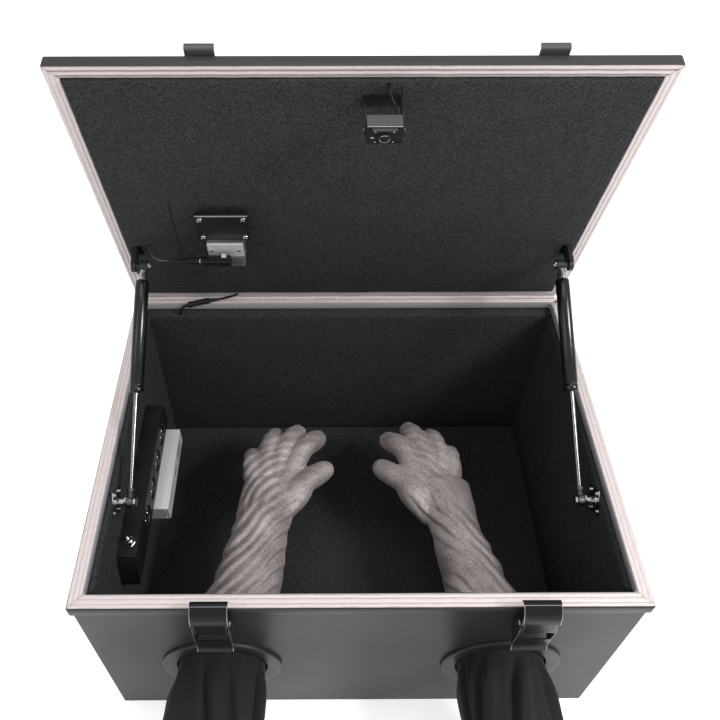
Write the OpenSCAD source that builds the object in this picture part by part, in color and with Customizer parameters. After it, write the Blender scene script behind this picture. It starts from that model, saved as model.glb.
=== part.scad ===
// Laboratory glove box: a shielded bench enclosure with a hinged lid on two gas struts,
// two arm ports with sleeves and gloves, foam lining, draw latches and lid electronics.
// The origin is the centre of the flat base, +Z is up and the ports face -Y.
// Lid parts are drawn closed and swung open by on_lid().

/* [Box] */
// Width across the rim frame
rim_w = 700; // [696:2:704]
// Depth across the rim frame
rim_d = 504; // [500:2:508]
// Height of the sealing face above the base
box_h = 358; // [356:1:362]
// Sheet thickness of the tub and the lid
sheet = 2; // [1.5:0.5:2.5]
// Thickness of the foam lining on floor and walls
foam_t = 20; // [16:1:20]

/* [Lid] */
// Angle that the lid is open, which is how the part is at rest
lid_open = 75.8; // [70:0.1:80]
// Width across the lid
lid_w = 696; // [690:2:696]
// Height of the lid's skirt
lid_skirt_h = 15.5; // [14:0.5:16]

/* [Ports] */
// Distance of the left port's centre from the middle
port_left_x = 182; // [178:1:186]
// Distance of the right port's centre from the middle
port_right_x = 197; // [190:1:200]
// Height of the ports' centres
port_z = 162; // [158:1:172]
// Outer radius of the port ring's flange
port_flange_r = 81; // [78:1:84]
// Clear radius through the port
port_clear_r = 61; // [58:1:62]

/* [Gas struts] */
// Distance of each strut's axis from the middle
strut_x = 305; // [303:1:307]
// Radius of the strut's tube
strut_tube_r = 10; // [9:0.5:10]
// Radius of the strut's rod
strut_rod_r = 3; // [3:0.5:4]

/* [Latches] */
// Distance of the left latch's centre from the middle
latch_left_x = 177; // [174:1:182]
// Distance of the right latch's centre from the middle
latch_right_x = 208; // [202:1:210]
// Width across the latch lever
lever_w = 44; // [43:1:46]

/* [Hidden] */
$fn = 48;
eps = 0.01;
big = 1000;

// tub and rim
shell_w = rim_w - 6;
shell_d = rim_d - 6;
gasket_h = 1.6;
flange_t = 1.6;
flange_top = box_h - gasket_h;
flange_low = flange_top - flange_t;
rim_skirt_h = 20;
band_w = 18;
rim_r = 2.5;
mouth_w = rim_w - 2*band_w;
// the rear band is narrow, so the mouth reaches nearer to the hinge
rear_band_w = 9;
mouth_front = -rim_d/2 + band_w;
mouth_back = rim_d/2 - rear_band_w;
mouth_d = mouth_back - mouth_front;
mouth_mid = (mouth_back + mouth_front)/2;
lip_t = 1.5;
lip_h = 12;
panel_w = shell_w - 16;
front_y = -shell_d/2;
room_w = shell_w - 2*sheet;
room_d = shell_d - 2*sheet;
foam_top = box_h - 14;
foam_x = room_w/2 - foam_t;
foam_y = room_d/2 - foam_t;
foam_gap = 0.3;

// lid, drawn closed
seal_gap = 0.4;
lid_r = 3;
lid_low = box_h + seal_gap + gasket_h;
lid_top = lid_low + lid_skirt_h;
lid_front = -rim_d/2 + 4;
lid_back = rim_d/2;
lid_d = lid_back - lid_front;
lid_mid = (lid_back + lid_front)/2;
lid_mouth_w = lid_w - 34;
lid_mouth_d = lid_d - 34;
lid_foam_z = box_h - 3.6;
hinge_y = rim_d/2 + 3.2;
hinge_z = box_h + seal_gap/2;
knuckle_r = 3;
hinge_pin_r = 1.2;
leaf_t = 1.2;
hinge_len = 680;
knuckles = 17;

// gas struts: wall pivot, and lid pivot with the lid closed
strut_y = -96;
strut_z = box_h - 32;
lid_pivot_s = 147.9;
lid_pivot_drop = 30.2;
// a point's place in the side view after the lid has swung open
function opened(y, z) = [
    hinge_y + (y - hinge_y)*cos(lid_open) + (z - hinge_z)*sin(lid_open),
    hinge_z - (y - hinge_y)*sin(lid_open) + (z - hinge_z)*cos(lid_open)];
lid_pivot_y = hinge_y - lid_pivot_s;
lid_pivot_z = hinge_z - lid_pivot_drop;
strut_end = opened(lid_pivot_y, lid_pivot_z);
strut_len = norm([strut_end[0] - strut_y, strut_end[1] - strut_z]);
strut_closed_len = norm([lid_pivot_y - strut_y, lid_pivot_z - strut_z]);
strut_angle = atan2(strut_end[1] - strut_z, strut_end[0] - strut_y);
stroke = strut_len - strut_closed_len;
eye_r = 8;
eye_half_w = 4;
eye_bore_r = 4.06;
stud_r = 4;
bracket_x = strut_x + strut_tube_r + 0.3;
tube_start = stroke + 19.5;
tube_end = strut_len - 22;

// latches, in the side view
pivot_y = front_y - 17;
pivot_z = box_h - 8;
claw_pin_y = pivot_y + 7.5;
claw_pin_z = pivot_z - 30;
pin_r = 2;
pin_bore_r = 2.06;
lever_t = 1.5;
claw_t = 1.5;

// left wall electronics
strip_y0 = -147;
strip_y1 = 105;
strip_z0 = box_h - 144;
strip_z1 = box_h - 90;
strip_d = 26;
toggle_x = -foam_x + 14;
toggle_y = strip_y0 + 22;

// lid electronics, drawn with the lid closed
plate_x0 = -216; plate_x1 = -145;
plate_y0 = 0.2; plate_y1 = 52.5;
plate_z = box_h - 20;
box_x0 = -206; box_x1 = -155;
box_y0 = 56; box_y1 = 85;
box_z = box_h - 28;
plug_y = 79;
plug_z = box_z - 11;
camera_x = 23.5;
camera_y = hinge_y - 456.2;
camera_z = box_h - 46.8;
camera_w = 39;
camera_l = 28;
camera_t = 16.4;

// ---- shared shapes ----
module plate2d(w, d, r) {
    square([w - 2*r, d], center=true);
    square([w, d - 2*r], center=true);
    for (x = [-1, 1], y = [-1, 1]) translate([x*(w/2 - r), y*(d/2 - r)]) circle(r);
}
module slab(w, d, r, z0, z1) translate([0, 0, z0]) linear_extrude(z1 - z0) plate2d(w, d, r);
module block(x0, x1, y0, y1, z0, z1) translate([x0, y0, z0]) cube([x1 - x0, y1 - y0, z1 - z0]);
// a cylinder along X from x0 to x1
module rod_x(x0, x1, y, z, r) translate([x0, y, z]) rotate([0, 90, 0]) cylinder(h=x1 - x0, r=r);
// a cylinder along Y from y0 to y1
module rod_y(y0, y1, x, z, r) translate([x, y0, z]) rotate([-90, 0, 0]) cylinder(h=y1 - y0, r=r);
// a side-view outline of [y, z] points, given thickness from x0 to x1
module side(x0, x1, pts) translate([x0, 0, 0]) rotate([90, 0, 90]) linear_extrude(x1 - x0) polygon(pts);
module on_lid() translate([0, hinge_y, hinge_z]) rotate([-lid_open, 0, 0])
    translate([0, -hinge_y, -hinge_z]) children();
function port_side(s) = s < 0 ? -port_left_x : port_right_x;
module at_port(s) translate([port_side(s), front_y, port_z]) rotate([90, 0, 0]) children();
module at_latch(s) translate([s < 0 ? -latch_left_x : latch_right_x, 0, 0]) children();
module mirrored(s) mirror([s < 0 ? 1 : 0, 0, 0]) children();
module along_strut(s) mirrored(s) translate([strut_x, strut_y, strut_z]) rotate([strut_angle, 0, 0]) children();
module camera_frame() on_lid() translate([camera_x, camera_y, camera_z]) children();

// a strip of metal that follows a polyline in the side view
function strip_normal(p, i) = let (a = p[max(i - 1, 0)], b = p[min(i + 1, len(p) - 1)], d = b - a)
    [-d[1], d[0]]/norm(d);
function strip_outline(p, t) = concat(
    [for (i = [0:len(p) - 1]) p[i] + strip_normal(p, i)*t/2],
    [for (i = [len(p) - 1:-1:0]) p[i] - strip_normal(p, i)*t/2]);

// a closed skin over rings of points, all with the same count
module skin(rings) {
    n = len(rings[0]);
    m = len(rings);
    polyhedron(
        points=[for (r = rings, p = r) p],
        faces=concat(
            [[for (k = [0:n - 1]) k]],
            [for (i = [0:m - 2], k = [0:n - 1]) [i*n + k, (i + 1)*n + k, i*n + (k + 1)%n]],
            [for (i = [0:m - 2], k = [0:n - 1])
                [i*n + (k + 1)%n, (i + 1)*n + k, (i + 1)*n + (k + 1)%n]],
            [[for (k = [n - 1:-1:0]) (m - 1)*n + k]]),
        convexity=6);
}
// a ring about c whose plane leans by tilt from upright, for a tube running along -Y
function sleeve_ring(c, rx, rz, tilt, n=20) = [for (k = [0:n - 1]) let (a = 360*k/n)
    c + [rx*cos(a), -rz*sin(a)*sin(tilt), rz*sin(a)*cos(tilt)]];
// rings along a free route of points, square to it
function unit(v) = v/norm(v);
function route_ring(p, i, r, n=8) = let (
        t = unit(p[min(i + 1, len(p) - 1)] - p[max(i - 1, 0)]),
        u = unit(cross(t, abs(t[2]) > 0.9 ? [0, 1, 0] : [0, 0, 1])),
        v = cross(t, u))
    [for (k = [0:n - 1]) p[i] + r*cos(-360*k/n)*u + r*sin(-360*k/n)*v];
module route_tube(p, r) skin([for (i = [0:len(p) - 1]) route_ring(p, i, r)]);
// the same along a route of [x, y, z, radius] stations
function places(p) = [for (q = p) [q[0], q[1], q[2]]];
module stepped_tube(p) skin([for (i = [0:len(p) - 1]) route_ring(places(p), i, p[i][3])]);

// ---- tub, rim and lining ----
module outer_shell() color("#2c2d31") difference() {
    slab(shell_w, shell_d, rim_r, 0, flange_low);
    slab(room_w, room_d, 1, sheet, big);
    block(-panel_w/2, panel_w/2, front_y - 1, front_y + sheet + 1, sheet, big);
}
module front_panel() color("#303136") difference() {
    block(-panel_w/2, panel_w/2, front_y, front_y + sheet, sheet, flange_low);
    for (s = [-1, 1]) at_port(s) translate([0, 0, -10]) cylinder(h=20, r=port_clear_r + 2.3);
}
module rim_frame() color("#34353a") difference() {
    slab(rim_w, rim_d, rim_r, flange_top - rim_skirt_h + flange_t, flange_top);
    difference() {
        slab(shell_w, shell_d, rim_r, 0, flange_low);
        translate([0, mouth_mid, 0])
            slab(mouth_w + 2*lip_t, mouth_d + 2*lip_t, 5.5, flange_top - lip_h, flange_low + 1);
    }
    translate([0, mouth_mid, 0]) slab(mouth_w, mouth_d, 4, 0, big);
}
seal_w = 17.3;
module rim_gasket() color("#c9bdba") difference() {
    slab(rim_w - 2, rim_d - 2, rim_r - 0.5, flange_top, box_h);
    translate([0, mouth_mid, 0]) slab(mouth_w + 1.4, mouth_d + 1.4, 4, 0, big);
}

module floor_foam() color("#26262a") slab(room_w - foam_gap, room_d - foam_gap, 3, sheet, sheet + foam_t);
module wall_foam(x0, x1, y0, y1) block(x0, x1, y0, y1, sheet + foam_t, foam_top);
module front_foam() color("#232327") difference() {
    wall_foam(-room_w/2 + 3, room_w/2 - 3, -room_d/2, -foam_y);
    for (s = [-1, 1]) at_port(s) translate([0, 0, -60]) cylinder(h=70, r=port_clear_r + 3);
}
module back_foam() color("#2a2a2e") wall_foam(-room_w/2 + 3, room_w/2 - 3, foam_y, room_d/2);
module side_foam(s) difference() {
    translate([s*(foam_x + foam_t/2), 0, 0])
        wall_foam(-foam_t/2, foam_t/2, -foam_y + foam_gap, foam_y - foam_gap);
    rod_x(s*(foam_x + foam_t/2) - foam_t, s*(foam_x + foam_t/2) + foam_t, strut_y, strut_z, 5.3);
}
module left_foam() color("#27272b") side_foam(-1);
module right_foam() color("#27272b") side_foam(1);

// ---- ports, sleeves and gloves ----
module port_ring(s) color("#3a3b40") at_port(s) rotate_extrude() polygon([
    [port_clear_r, -27], [port_clear_r + 2, -27], [port_clear_r + 2, 0], [port_flange_r, 0],
    [port_flange_r, 3.5], [port_flange_r - 1, 4.5], [port_clear_r + 1, 4.5], [port_clear_r, 3.5]]);
module port_clamps() color("#45464b") for (s = [-1, 1]) at_port(s)
    translate([0, 0, -26]) difference() {
        cylinder(h=3.8, r=port_flange_r - 3);
        translate([0, 0, -1]) cylinder(h=6, r=port_clear_r + 2.3);
    }

// the sleeve's centre line outside the box: [sideways, out, height, radius, tilt]
sleeve_stations = [
    [0, 20, 0, 60, 0], [0, -8, 0, 60, 0], [2, -34, -2, 61, 6], [7, -72, -12, 63, 20],
    [13, -110, -31, 64, 33], [18, -143, -58, 62, 45], [21, -166, -86, 54, 52]];
module sleeve_body(s, shrink, extra) skin([for (i = [0:len(sleeve_stations) - 1])
    let (q = sleeve_stations[i], push = (i == 0 ? 1 : i == len(sleeve_stations) - 1 ? -1 : 0)*extra)
    sleeve_ring([port_side(s) + s*q[0], front_y + q[1] + push*cos(q[4]), port_z + q[2] + push*sin(q[4])],
        q[3] - shrink, q[3] - shrink, q[4])]);
module sleeve(s) color("#1b1b1e") difference() {
    sleeve_body(s, 0, 0);
    sleeve_body(s, 2, 1);
}

// the glove's forearm: [centre x, y, z, half width, half height], mirrored on the left
arm_left = [[182, -222, port_z, 63, 63], [175, -188, 160, 58, 58], [159, -149, 157, 52, 51],
    [149, -100, 158, 48, 44], [140, -52, 158, 44, 37]];
arm_right = [[197, -222, port_z, 63, 63], [194, -188, 160, 57, 57], [186, -151, 157, 50, 50],
    [173, -100, 158, 44, 42], [162, -54, 158, 37, 34]];
// finger: [knuckle x, y, tip x, tip y, radius], pinky to index, then the thumb
fingers_left = [[159, 58, 165, 80, 12], [137, 80, 125, 121, 13], [113, 84, 87, 128, 13.5],
    [88, 74, 52, 114, 13], [88, 18, 36, 58, 14]];
fingers_right = [[173, 64, 173, 84, 12], [151, 84, 142, 118, 13], [126, 86, 105, 132, 13.5],
    [102, 76, 68, 110, 13], [100, 18, 50, 60, 14]];
hand_z = 158;
module arm_skin(arm, shrink, extra) skin([for (i = [len(arm) - 1:-1:0])
    let (q = arm[i], push = (i == 0 ? -1 : 0)*extra)
    sleeve_ring([q[0], q[1] + push, q[2]], q[3] - shrink, q[4] - shrink, 0)]);
module glove_shape(arm, fingers) {
    wrist = arm[len(arm) - 1];
    difference() {
        arm_skin(arm, 0, 0);
        arm_skin([for (i = [0:len(arm) - 2]) arm[i]], 2, 1);
    }
    hull() {
        for (x = [-1, 1]) translate([wrist[0] + x*(wrist[3] - 24), wrist[1] + 2, hand_z]) sphere(23, $fn=20);
        translate([fingers[0][0] - 4, fingers[0][1] - 8, hand_z + 4]) sphere(17, $fn=20);
        translate([fingers[3][0] + 4, fingers[3][1] - 8, hand_z + 4]) sphere(17, $fn=20);
    }
    for (f = fingers) let (bend = (f[2] + f[0])/2, mid = (f[3] + f[1])/2) {
        hull() {
            translate([f[0], f[1] - 8, hand_z + 2]) sphere(f[4] + 2, $fn=16);
            translate([bend, mid, hand_z + 4]) sphere(f[4], $fn=16);
        }
        hull() {
            translate([bend, mid, hand_z + 4]) sphere(f[4], $fn=16);
            translate([f[2], f[3], hand_z - 8]) sphere(f[4] - 1, $fn=16);
        }
    }
}
module glove_left() color("#a89a94") mirror([1, 0, 0]) glove_shape(arm_left, fingers_left);
module glove_right() color("#a89a94") glove_shape(arm_right, fingers_right);

// ---- draw latches ----
module latch_base(s) at_latch(s) {
    block(-17.5, 17.5, front_y - 2, front_y, box_h - 74, box_h - 23);
    for (x = [-17.5, 16]) difference() {
        union() {
            side(x, x + 1.5, [for (q = [[15, -23], [15, -15], [5.8, -7.5], [5.3, -2], [4.3, 2.5],
                [-4.9, -1], [-4.2, -8], [2, -17], [6, -23]]) [pivot_y + q[0], pivot_z + q[1]]]);
            rod_x(x, x + 1.5, pivot_y, pivot_z, 5);
        }
        rod_x(x - 1, x + 3, pivot_y, pivot_z, pin_r);
    }
}
module latch_bases() color("#2f3034") for (s = [-1, 1]) latch_base(s);
module latch_pivot_pins() color("#b8b8bb") for (s = [-1, 1]) {
    for (side_of = [-1, 1]) at_latch(s) mirrored(side_of) {
        rod_x(15.6, lever_w/2 + 1, pivot_y, pivot_z, pin_r);
        rod_x(lever_w/2 + 0.3, lever_w/2 + 1.3, pivot_y, pivot_z, 3);
    }
}
// the lever's face, from below the claw down to the finger lip
lever_path = [[pivot_y - 7.4, pivot_z - 33], [pivot_y - 5.5, pivot_z - 50], [pivot_y - 6.2, pivot_z - 60],
    [pivot_y - 8.4, pivot_z - 67]];
module latch_lever(s) color("#2a2b2f") at_latch(s) {
    side(-lever_w/2, lever_w/2, strip_outline(lever_path, lever_t));
    for (x = [-lever_w/2, lever_w/2 - lever_t]) difference() {
        side(x, x + lever_t, [[pivot_y - 4.5, pivot_z + 8], [pivot_y + 2, pivot_z + 5],
            [pivot_y + 5, pivot_z - 2], [claw_pin_y + 3.5, claw_pin_z + 6], [claw_pin_y + 3.5, claw_pin_z - 4],
            [pivot_y + 2, pivot_z - 50], [pivot_y - 6.2, pivot_z - 60], [pivot_y - 5.5, pivot_z - 50],
            [pivot_y - 7.5, pivot_z - 22], [pivot_y - 7, pivot_z - 2]]);
        rod_x(x - 1, x + 3, pivot_y, pivot_z, pin_bore_r);
    }
    rod_x(-lever_w/2 + 0.5, lever_w/2 - 0.5, claw_pin_y, claw_pin_z, pin_r);
}
// the claw's plate, from its pin out between the lever's sides, up in front of the pivot
// and over to the hook that drops behind the keeper's lip
claw_path = [for (q = [[-2.5, 2.5], [-8.5, 8.5], [-14.5, 15.5], [-14.9, 22], [-14.9, 41.5], [-13, 52],
    [-9, 59], [-4.2, 63.2], [-1, 64.5], [3.6, 63.6], [5.4, 59.5]]) [claw_pin_y + q[0], claw_pin_z + q[1]]];
claw_split = 4;
claw_half = lever_w/2 - lever_t - 1.1;
module latch_claw(s) color("#26272b") at_latch(s) {
    difference() {
        union() {
            side(-claw_half, claw_half, strip_outline([for (i = [0:claw_split]) claw_path[i]], claw_t));
            rod_x(-claw_half, claw_half, claw_pin_y, claw_pin_z, 4);
        }
        rod_x(-lever_w, lever_w, claw_pin_y, claw_pin_z, pin_bore_r);
    }
    side(-lever_w/2, lever_w/2,
        strip_outline([for (i = [claw_split:len(claw_path) - 1]) claw_path[i]], claw_t));
}
// keeper: a strip on the lid's front edge that ends in an upright lip
keeper_lip_y = claw_pin_y + 1.5;
module latch_keepers() color("#4a4b50") on_lid() for (s = [-1, 1]) at_latch(s) {
    side(-17, 17, strip_outline([[lid_front + 14, lid_top + 0.75], [keeper_lip_y + 2, lid_top + 0.75],
        [keeper_lip_y + 0.4, lid_top + 1.6], [keeper_lip_y, lid_top + 4.6], [keeper_lip_y - 1.2, lid_top + 5.8]], 1.5));
}

// ---- piano hinge ----
module knuckle_row(first, z0, z1) {
    pitch = hinge_len/knuckles;
    for (k = [first:2:knuckles - 1]) let (x0 = -hinge_len/2 + k*pitch + 0.3, x1 = x0 + pitch - 0.6) {
        rod_x(x0, x1, hinge_y, hinge_z, knuckle_r);
        block(x0, x1, rim_d/2, rim_d/2 + leaf_t, z0, z1);
    }
}
module hinge_body_leaf() color("#55565b") difference() {
    union() {
        block(-hinge_len/2, hinge_len/2, rim_d/2, rim_d/2 + leaf_t, flange_top - 17, hinge_z - knuckle_r - 1);
        knuckle_row(0, hinge_z - knuckle_r - 2, hinge_z);
    }
    rod_x(-hinge_len, hinge_len, hinge_y, hinge_z, hinge_pin_r);
}
module hinge_lid_leaf() color("#55565b") on_lid() difference() {
    union() {
        block(-hinge_len/2, hinge_len/2, rim_d/2, rim_d/2 + leaf_t, hinge_z + knuckle_r + 1, lid_top - 1);
        knuckle_row(1, hinge_z, hinge_z + knuckle_r + 2);
    }
    rod_x(-hinge_len, hinge_len, hinge_y, hinge_z, hinge_pin_r + 0.05);
}
module hinge_pin() color("#9a9a9d") rod_x(-hinge_len/2, hinge_len/2, hinge_y, hinge_z, hinge_pin_r);

// ---- lid ----
module lid_slab(w, d, r, z0, z1) translate([0, lid_mid, 0]) slab(w, d, r, z0, z1);
module lid_shell() color("#3b3c41") on_lid() difference() {
    lid_slab(lid_w, lid_d, lid_r, lid_low, lid_top);
    lid_slab(lid_w - 2*sheet, lid_d - 2*sheet, 1, lid_low + 1.6, lid_top - sheet);
    lid_slab(lid_mouth_w, lid_mouth_d, 4, 0, lid_low + 2);
}
module lid_gasket() color("#c9bdba") on_lid() difference() {
    lid_slab(lid_w - 2, lid_d - 2, lid_r - 0.5, lid_low - gasket_h, lid_low);
    lid_slab(lid_w - 2*seal_w, lid_d - 2*seal_w, 4, 0, big);
}
module lid_foam() color("#242428") on_lid() difference() {
    lid_slab(lid_mouth_w - 2, lid_mouth_d - 2, 4, lid_foam_z, lid_top - sheet);
    for (s = [-1, 1]) translate([s*(strut_x + 10), lid_pivot_y, 0])
        block(-6.5, 6.5, -11.5, 11.5, 0, big);
}

// ---- gas struts ----
module strut_wall_plates() color("#c4c4c8") for (s = [-1, 1])
    translate([s*(foam_x - 1), strut_y, strut_z]) rotate([45, 0, 0]) difference() {
        cube([2, 34, 34], center=true);
        rod_x(-3, 3, 0, 0, 5.3);
    }
module strut_plate_screws() color("#d5d5d8") for (s = [-1, 1], k = [0:3])
    translate([s*(foam_x - 2), strut_y, strut_z]) rotate([90*k, 0, 0])
        translate([0, 0, 17]) rod_x(s > 0 ? -3 : 0, s > 0 ? 0 : 3, 0, 0, 3);
module strut_wall_studs() color("#d5d5d8") for (s = [-1, 1]) mirrored(s)
    translate([0, strut_y, strut_z]) {
        rod_x(strut_x + 8, room_w/2, 0, 0, 5);
        rod_x(strut_x + 5, strut_x + 8, 0, 0, 7);
        rod_x(strut_x - 6, strut_x + 5, 0, 0, stud_r);
        rod_x(strut_x - 8, strut_x - 5, 0, 0, 6);
    }
module strut_eye(s) color("#77787c") along_strut(s) difference() {
    union() {
        rod_x(-eye_half_w, eye_half_w, 0, 0, eye_r);
        rod_y(4, 18, 0, 0, 4.8);
    }
    rod_x(-9, 9, 0, 0, eye_bore_r);
    rod_y(14, 19, 0, 0, strut_rod_r);
}
module strut_rod(s) color("#c9c9cd") along_strut(s) {
    rod_y(14, 166, 0, 0, strut_rod_r);
    rod_y(166, 176, 0, 0, strut_tube_r - 1.48);
}
module strut_tube(s) color("#1d1d20") along_strut(s) difference() {
    rod_y(tube_start, tube_end, 0, 0, strut_tube_r);
    rod_y(tube_start + 10, tube_end - 3, 0, 0, strut_tube_r - 1.4);
    rod_y(tube_start - 1, tube_end - 4, 0, 0, strut_rod_r + 0.06);
}
module strut_end(s) color("#232327") along_strut(s) {
    rod_y(tube_end, strut_len - 5, 0, 0, 5.5);
    rod_x(-eye_half_w - 4, eye_half_w, strut_len, 0, eye_r);
}
module strut_lid_brackets() color("#3a3b40") on_lid() for (s = [-1, 1]) mirrored(s) {
    block(bracket_x, strut_x + 16, lid_pivot_y - 11, lid_pivot_y + 11, lid_pivot_z, lid_top - sheet);
    rod_x(bracket_x, strut_x + 16, lid_pivot_y, lid_pivot_z, 9);
    rod_x(strut_x + 4.6, bracket_x + 1, lid_pivot_y, lid_pivot_z, 5);
}

// ---- power strip, converter and toggle switch on the left wall ----
module power_strip() color("#1c1c1f") difference() {
    block(-foam_x, -foam_x + strip_d, strip_y0, strip_y1, strip_z0, strip_z1);
    for (k = [1:4]) let (y = strip_y0 + 4 + k*47)
        block(-foam_x - 1, -foam_x + strip_d + 1, y, y + 0.8, strip_z1 - 0.8, big);
    for (k = [0:3]) translate([-foam_x + strip_d, strip_y0 + 74 + k*47, (strip_z0 + strip_z1)/2])
        rotate([0, 90, 0]) translate([0, 0, -4]) cylinder(h=5, r=17);
}
module power_sockets() color("#2a2a2e") for (k = [0:3])
    translate([-foam_x + strip_d - 4, strip_y0 + 74 + k*47, (strip_z0 + strip_z1)/2]) rotate([0, 90, 0]) difference() {
        cylinder(h=2, r=17);
        for (x = [-6, 6]) translate([x - 1, -3, 0.6]) cube([2, 6, 3]);
    }
module power_strip_ends() color("#1f1f23") {
    side(-foam_x, -foam_x + strip_d, [[strip_y0 - 16, strip_z0 + 4], [strip_y0, strip_z0 + 4],
        [strip_y0, strip_z1 - 3], [strip_y0 - 4, strip_z1 - 6]]);
    side(-foam_x, -foam_x + strip_d, [[strip_y1, strip_z0 + 4], [strip_y1 + 8, strip_z0 + 4],
        [strip_y1 + 4, strip_z1 - 6], [strip_y1, strip_z1 - 3]]);
}
module converter_box() color("#c2c3c6")
    block(-foam_x, -foam_x + 48, strip_y0 + 101, strip_y1 - 9, strip_z0 - 31, strip_z0 - 0.5);
module toggle_bushing() color("#c9c9cd") translate([toggle_x, toggle_y, strip_z1]) difference() {
    union() {
        cylinder(h=3, r=7, $fn=6);
        cylinder(h=8, r=4.5);
    }
    translate([0, 0, 1]) cylinder(h=10, r=3.4);
}
module toggle_lever() color("#dcdce0") translate([toggle_x, toggle_y, strip_z1 + 5]) rotate([12, 0, 0]) {
    sphere(2.6);
    rod_x(-3, 3, 0, 0, 1.2);
    cylinder(h=14, r=1.5);
    translate([0, 0, 14]) sphere(2.6);
}

// ---- lid electronics ----
module filter_plate() color("#5a5b60") on_lid() {
    block(plate_x0, plate_x1, plate_y0, plate_y1, plate_z, plate_z + 1.5);
    block(plate_x0, plate_x1, plate_y0 - 1.5, plate_y0, plate_z, plate_z + 7.5);
}
module filter_screws() color("#d8d8db") on_lid() for (x = [plate_x0 + 6, plate_x1 - 6], y = [plate_y0 + 7, plate_y1 - 4])
    translate([x, y, 0]) {
        translate([0, 0, plate_z - 3]) cylinder(h=3, r=3);
        translate([0, 0, plate_z + 1.5]) cylinder(h=lid_foam_z - plate_z - 1.5, r=2.5);
    }
module connector_box() color("#c5c6c9") on_lid() block(box_x0, box_x1, box_y0, box_y1, box_z, lid_foam_z);
module connector_block() color("#8d8e92") on_lid()
    block(box_x1 - 24, box_x1 - 1, box_y1, box_y1 + 24, box_z - 1, lid_foam_z);
module moulded_plug() color("#202024") on_lid() {
    rod_x(-216, -173, plug_y, plug_z, 6.5);
    rod_x(-247, -216, plug_y, plug_z, 4.5);
    rod_x(-262, -247, plug_y, plug_z, 3);
}
plug_route = [[-262, plug_y, plug_z], [-268, plug_y, plug_z + 0.5], [-276, plug_y + 2, plug_z + 3],
    [-284, plug_y + 5, plug_z + 9], [-290, plug_y + 9, plug_z + 17], [-294, plug_y + 13, plug_z + 26],
    [-296, plug_y + 15, lid_foam_z - 0.2]];
module plug_cable() color("#3a3a3e") on_lid() route_tube(plug_route, 1.7);

// ---- camera on its bracket ----
module camera_bracket() color("#2c2d31") camera_frame() {
    half = camera_w/2 + 0.5;
    block(-half - 2, half + 2, -8, 8, lid_foam_z - camera_z - 1.5, lid_foam_z - camera_z);
    for (x = [-half - 2, half]) {
        block(x, x + 2, -5, 5, 0, lid_foam_z - camera_z - 1);
        rod_x(x, x + 2, 0, 0, 5);
    }
    for (s = [-1, 1]) mirrored(s) {
        rod_x(half - 4, half + 2, 0, 0, 2);
        rod_x(half + 2, half + 4, 0, 0, 3);
    }
}
module camera_body() color("#1f1f23") camera_frame() difference() {
    block(-camera_w/2, camera_w/2, -camera_l/2, camera_l/2, -camera_t/2, camera_t/2);
    for (s = [-1, 1]) mirrored(s) rod_x(camera_w/2 - 4.5, camera_w/2 + 1, 0, 0, pin_bore_r);
}
module camera_lens() color("#8f9095") camera_frame() translate([0, 3.5, -camera_t/2 - 3]) difference() {
    cylinder(h=3, r=7);
    translate([0, 0, -1]) cylinder(h=3, r=4.8);
}
module camera_screws() color("#d8d8db") camera_frame() for (x = [-10, 10], y = [-5, 11])
    translate([x, y, -camera_t/2 - 0.8]) cylinder(h=0.8, r=1.2);
camera_route = [[14, -4, camera_t/2 + 0.4], [15, -5, camera_t/2 + 8], [13, -9, camera_t/2 + 16],
    [9, -15, camera_t/2 + 23], [6, -21, camera_t/2 + 28], [5.5, -23, lid_foam_z - camera_z - 0.5]];
module camera_cable() color("#17171a") camera_frame() route_tube(camera_route, 1.6);

// lead with an in-line connector, from the tub over the rear rim into the lid, drawn as it lies with the lid open
hinge_route = [[-276, 231, foam_top + 0.3, 1.8], [-274, 231.5, foam_top + 8, 1.8],
    [-270, 232.3, box_h + 1, 1.8], [-265, 234, box_h + 4, 1.8], [-262, 235, box_h + 4.6, 4.2],
    [-250, 238.8, box_h + 4.6, 4.2], [-238, 242.4, box_h + 4.6, 4.2], [-228, 245, box_h + 4.6, 4.2],
    [-216, 247, box_h + 5, 2.6], [-206, 248, box_h + 6.5, 1.8], [-196, 248, box_h + 9.5, 1.8],
    [-187, 247.5, box_h + 13.5, 1.8], [-180, 246.5, box_h + 18.5, 1.8]];
module hinge_cable() color("#1a1a1d") stepped_tube(hinge_route);

outer_shell();
front_panel();
rim_frame();
rim_gasket();
floor_foam();
front_foam();
back_foam();
left_foam();
right_foam();
port_ring(-1);  // port_ring_left
port_ring(1);  // port_ring_right
port_clamps();
sleeve(-1);  // sleeve_left
sleeve(1);  // sleeve_right
glove_left();
glove_right();
latch_bases();
latch_pivot_pins();
latch_lever(-1);  // latch_lever_left
latch_lever(1);  // latch_lever_right
latch_claw(-1);  // latch_claw_left
latch_claw(1);  // latch_claw_right
hinge_body_leaf();
hinge_pin();
hinge_lid_leaf();
lid_shell();
lid_gasket();
lid_foam();
latch_keepers();
strut_wall_plates();
strut_plate_screws();
strut_wall_studs();
strut_rod(-1);  // strut_rod_left
strut_rod(1);  // strut_rod_right
strut_eye(-1);  // strut_eye_left
strut_eye(1);  // strut_eye_right
strut_tube(-1);  // strut_tube_left
strut_tube(1);  // strut_tube_right
strut_end(-1);  // strut_end_left
strut_end(1);  // strut_end_right
strut_lid_brackets();
power_strip();
power_sockets();
power_strip_ends();
converter_box();
toggle_bushing();
toggle_lever();
filter_plate();
filter_screws();
connector_box();
connector_block();
moulded_plug();
plug_cable();
camera_bracket();
camera_body();
camera_lens();
camera_screws();
camera_cable();
hinge_cable();
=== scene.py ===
import math

import bmesh
import bpy
import numpy as np
from mathutils import Matrix, Vector, noise


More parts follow.
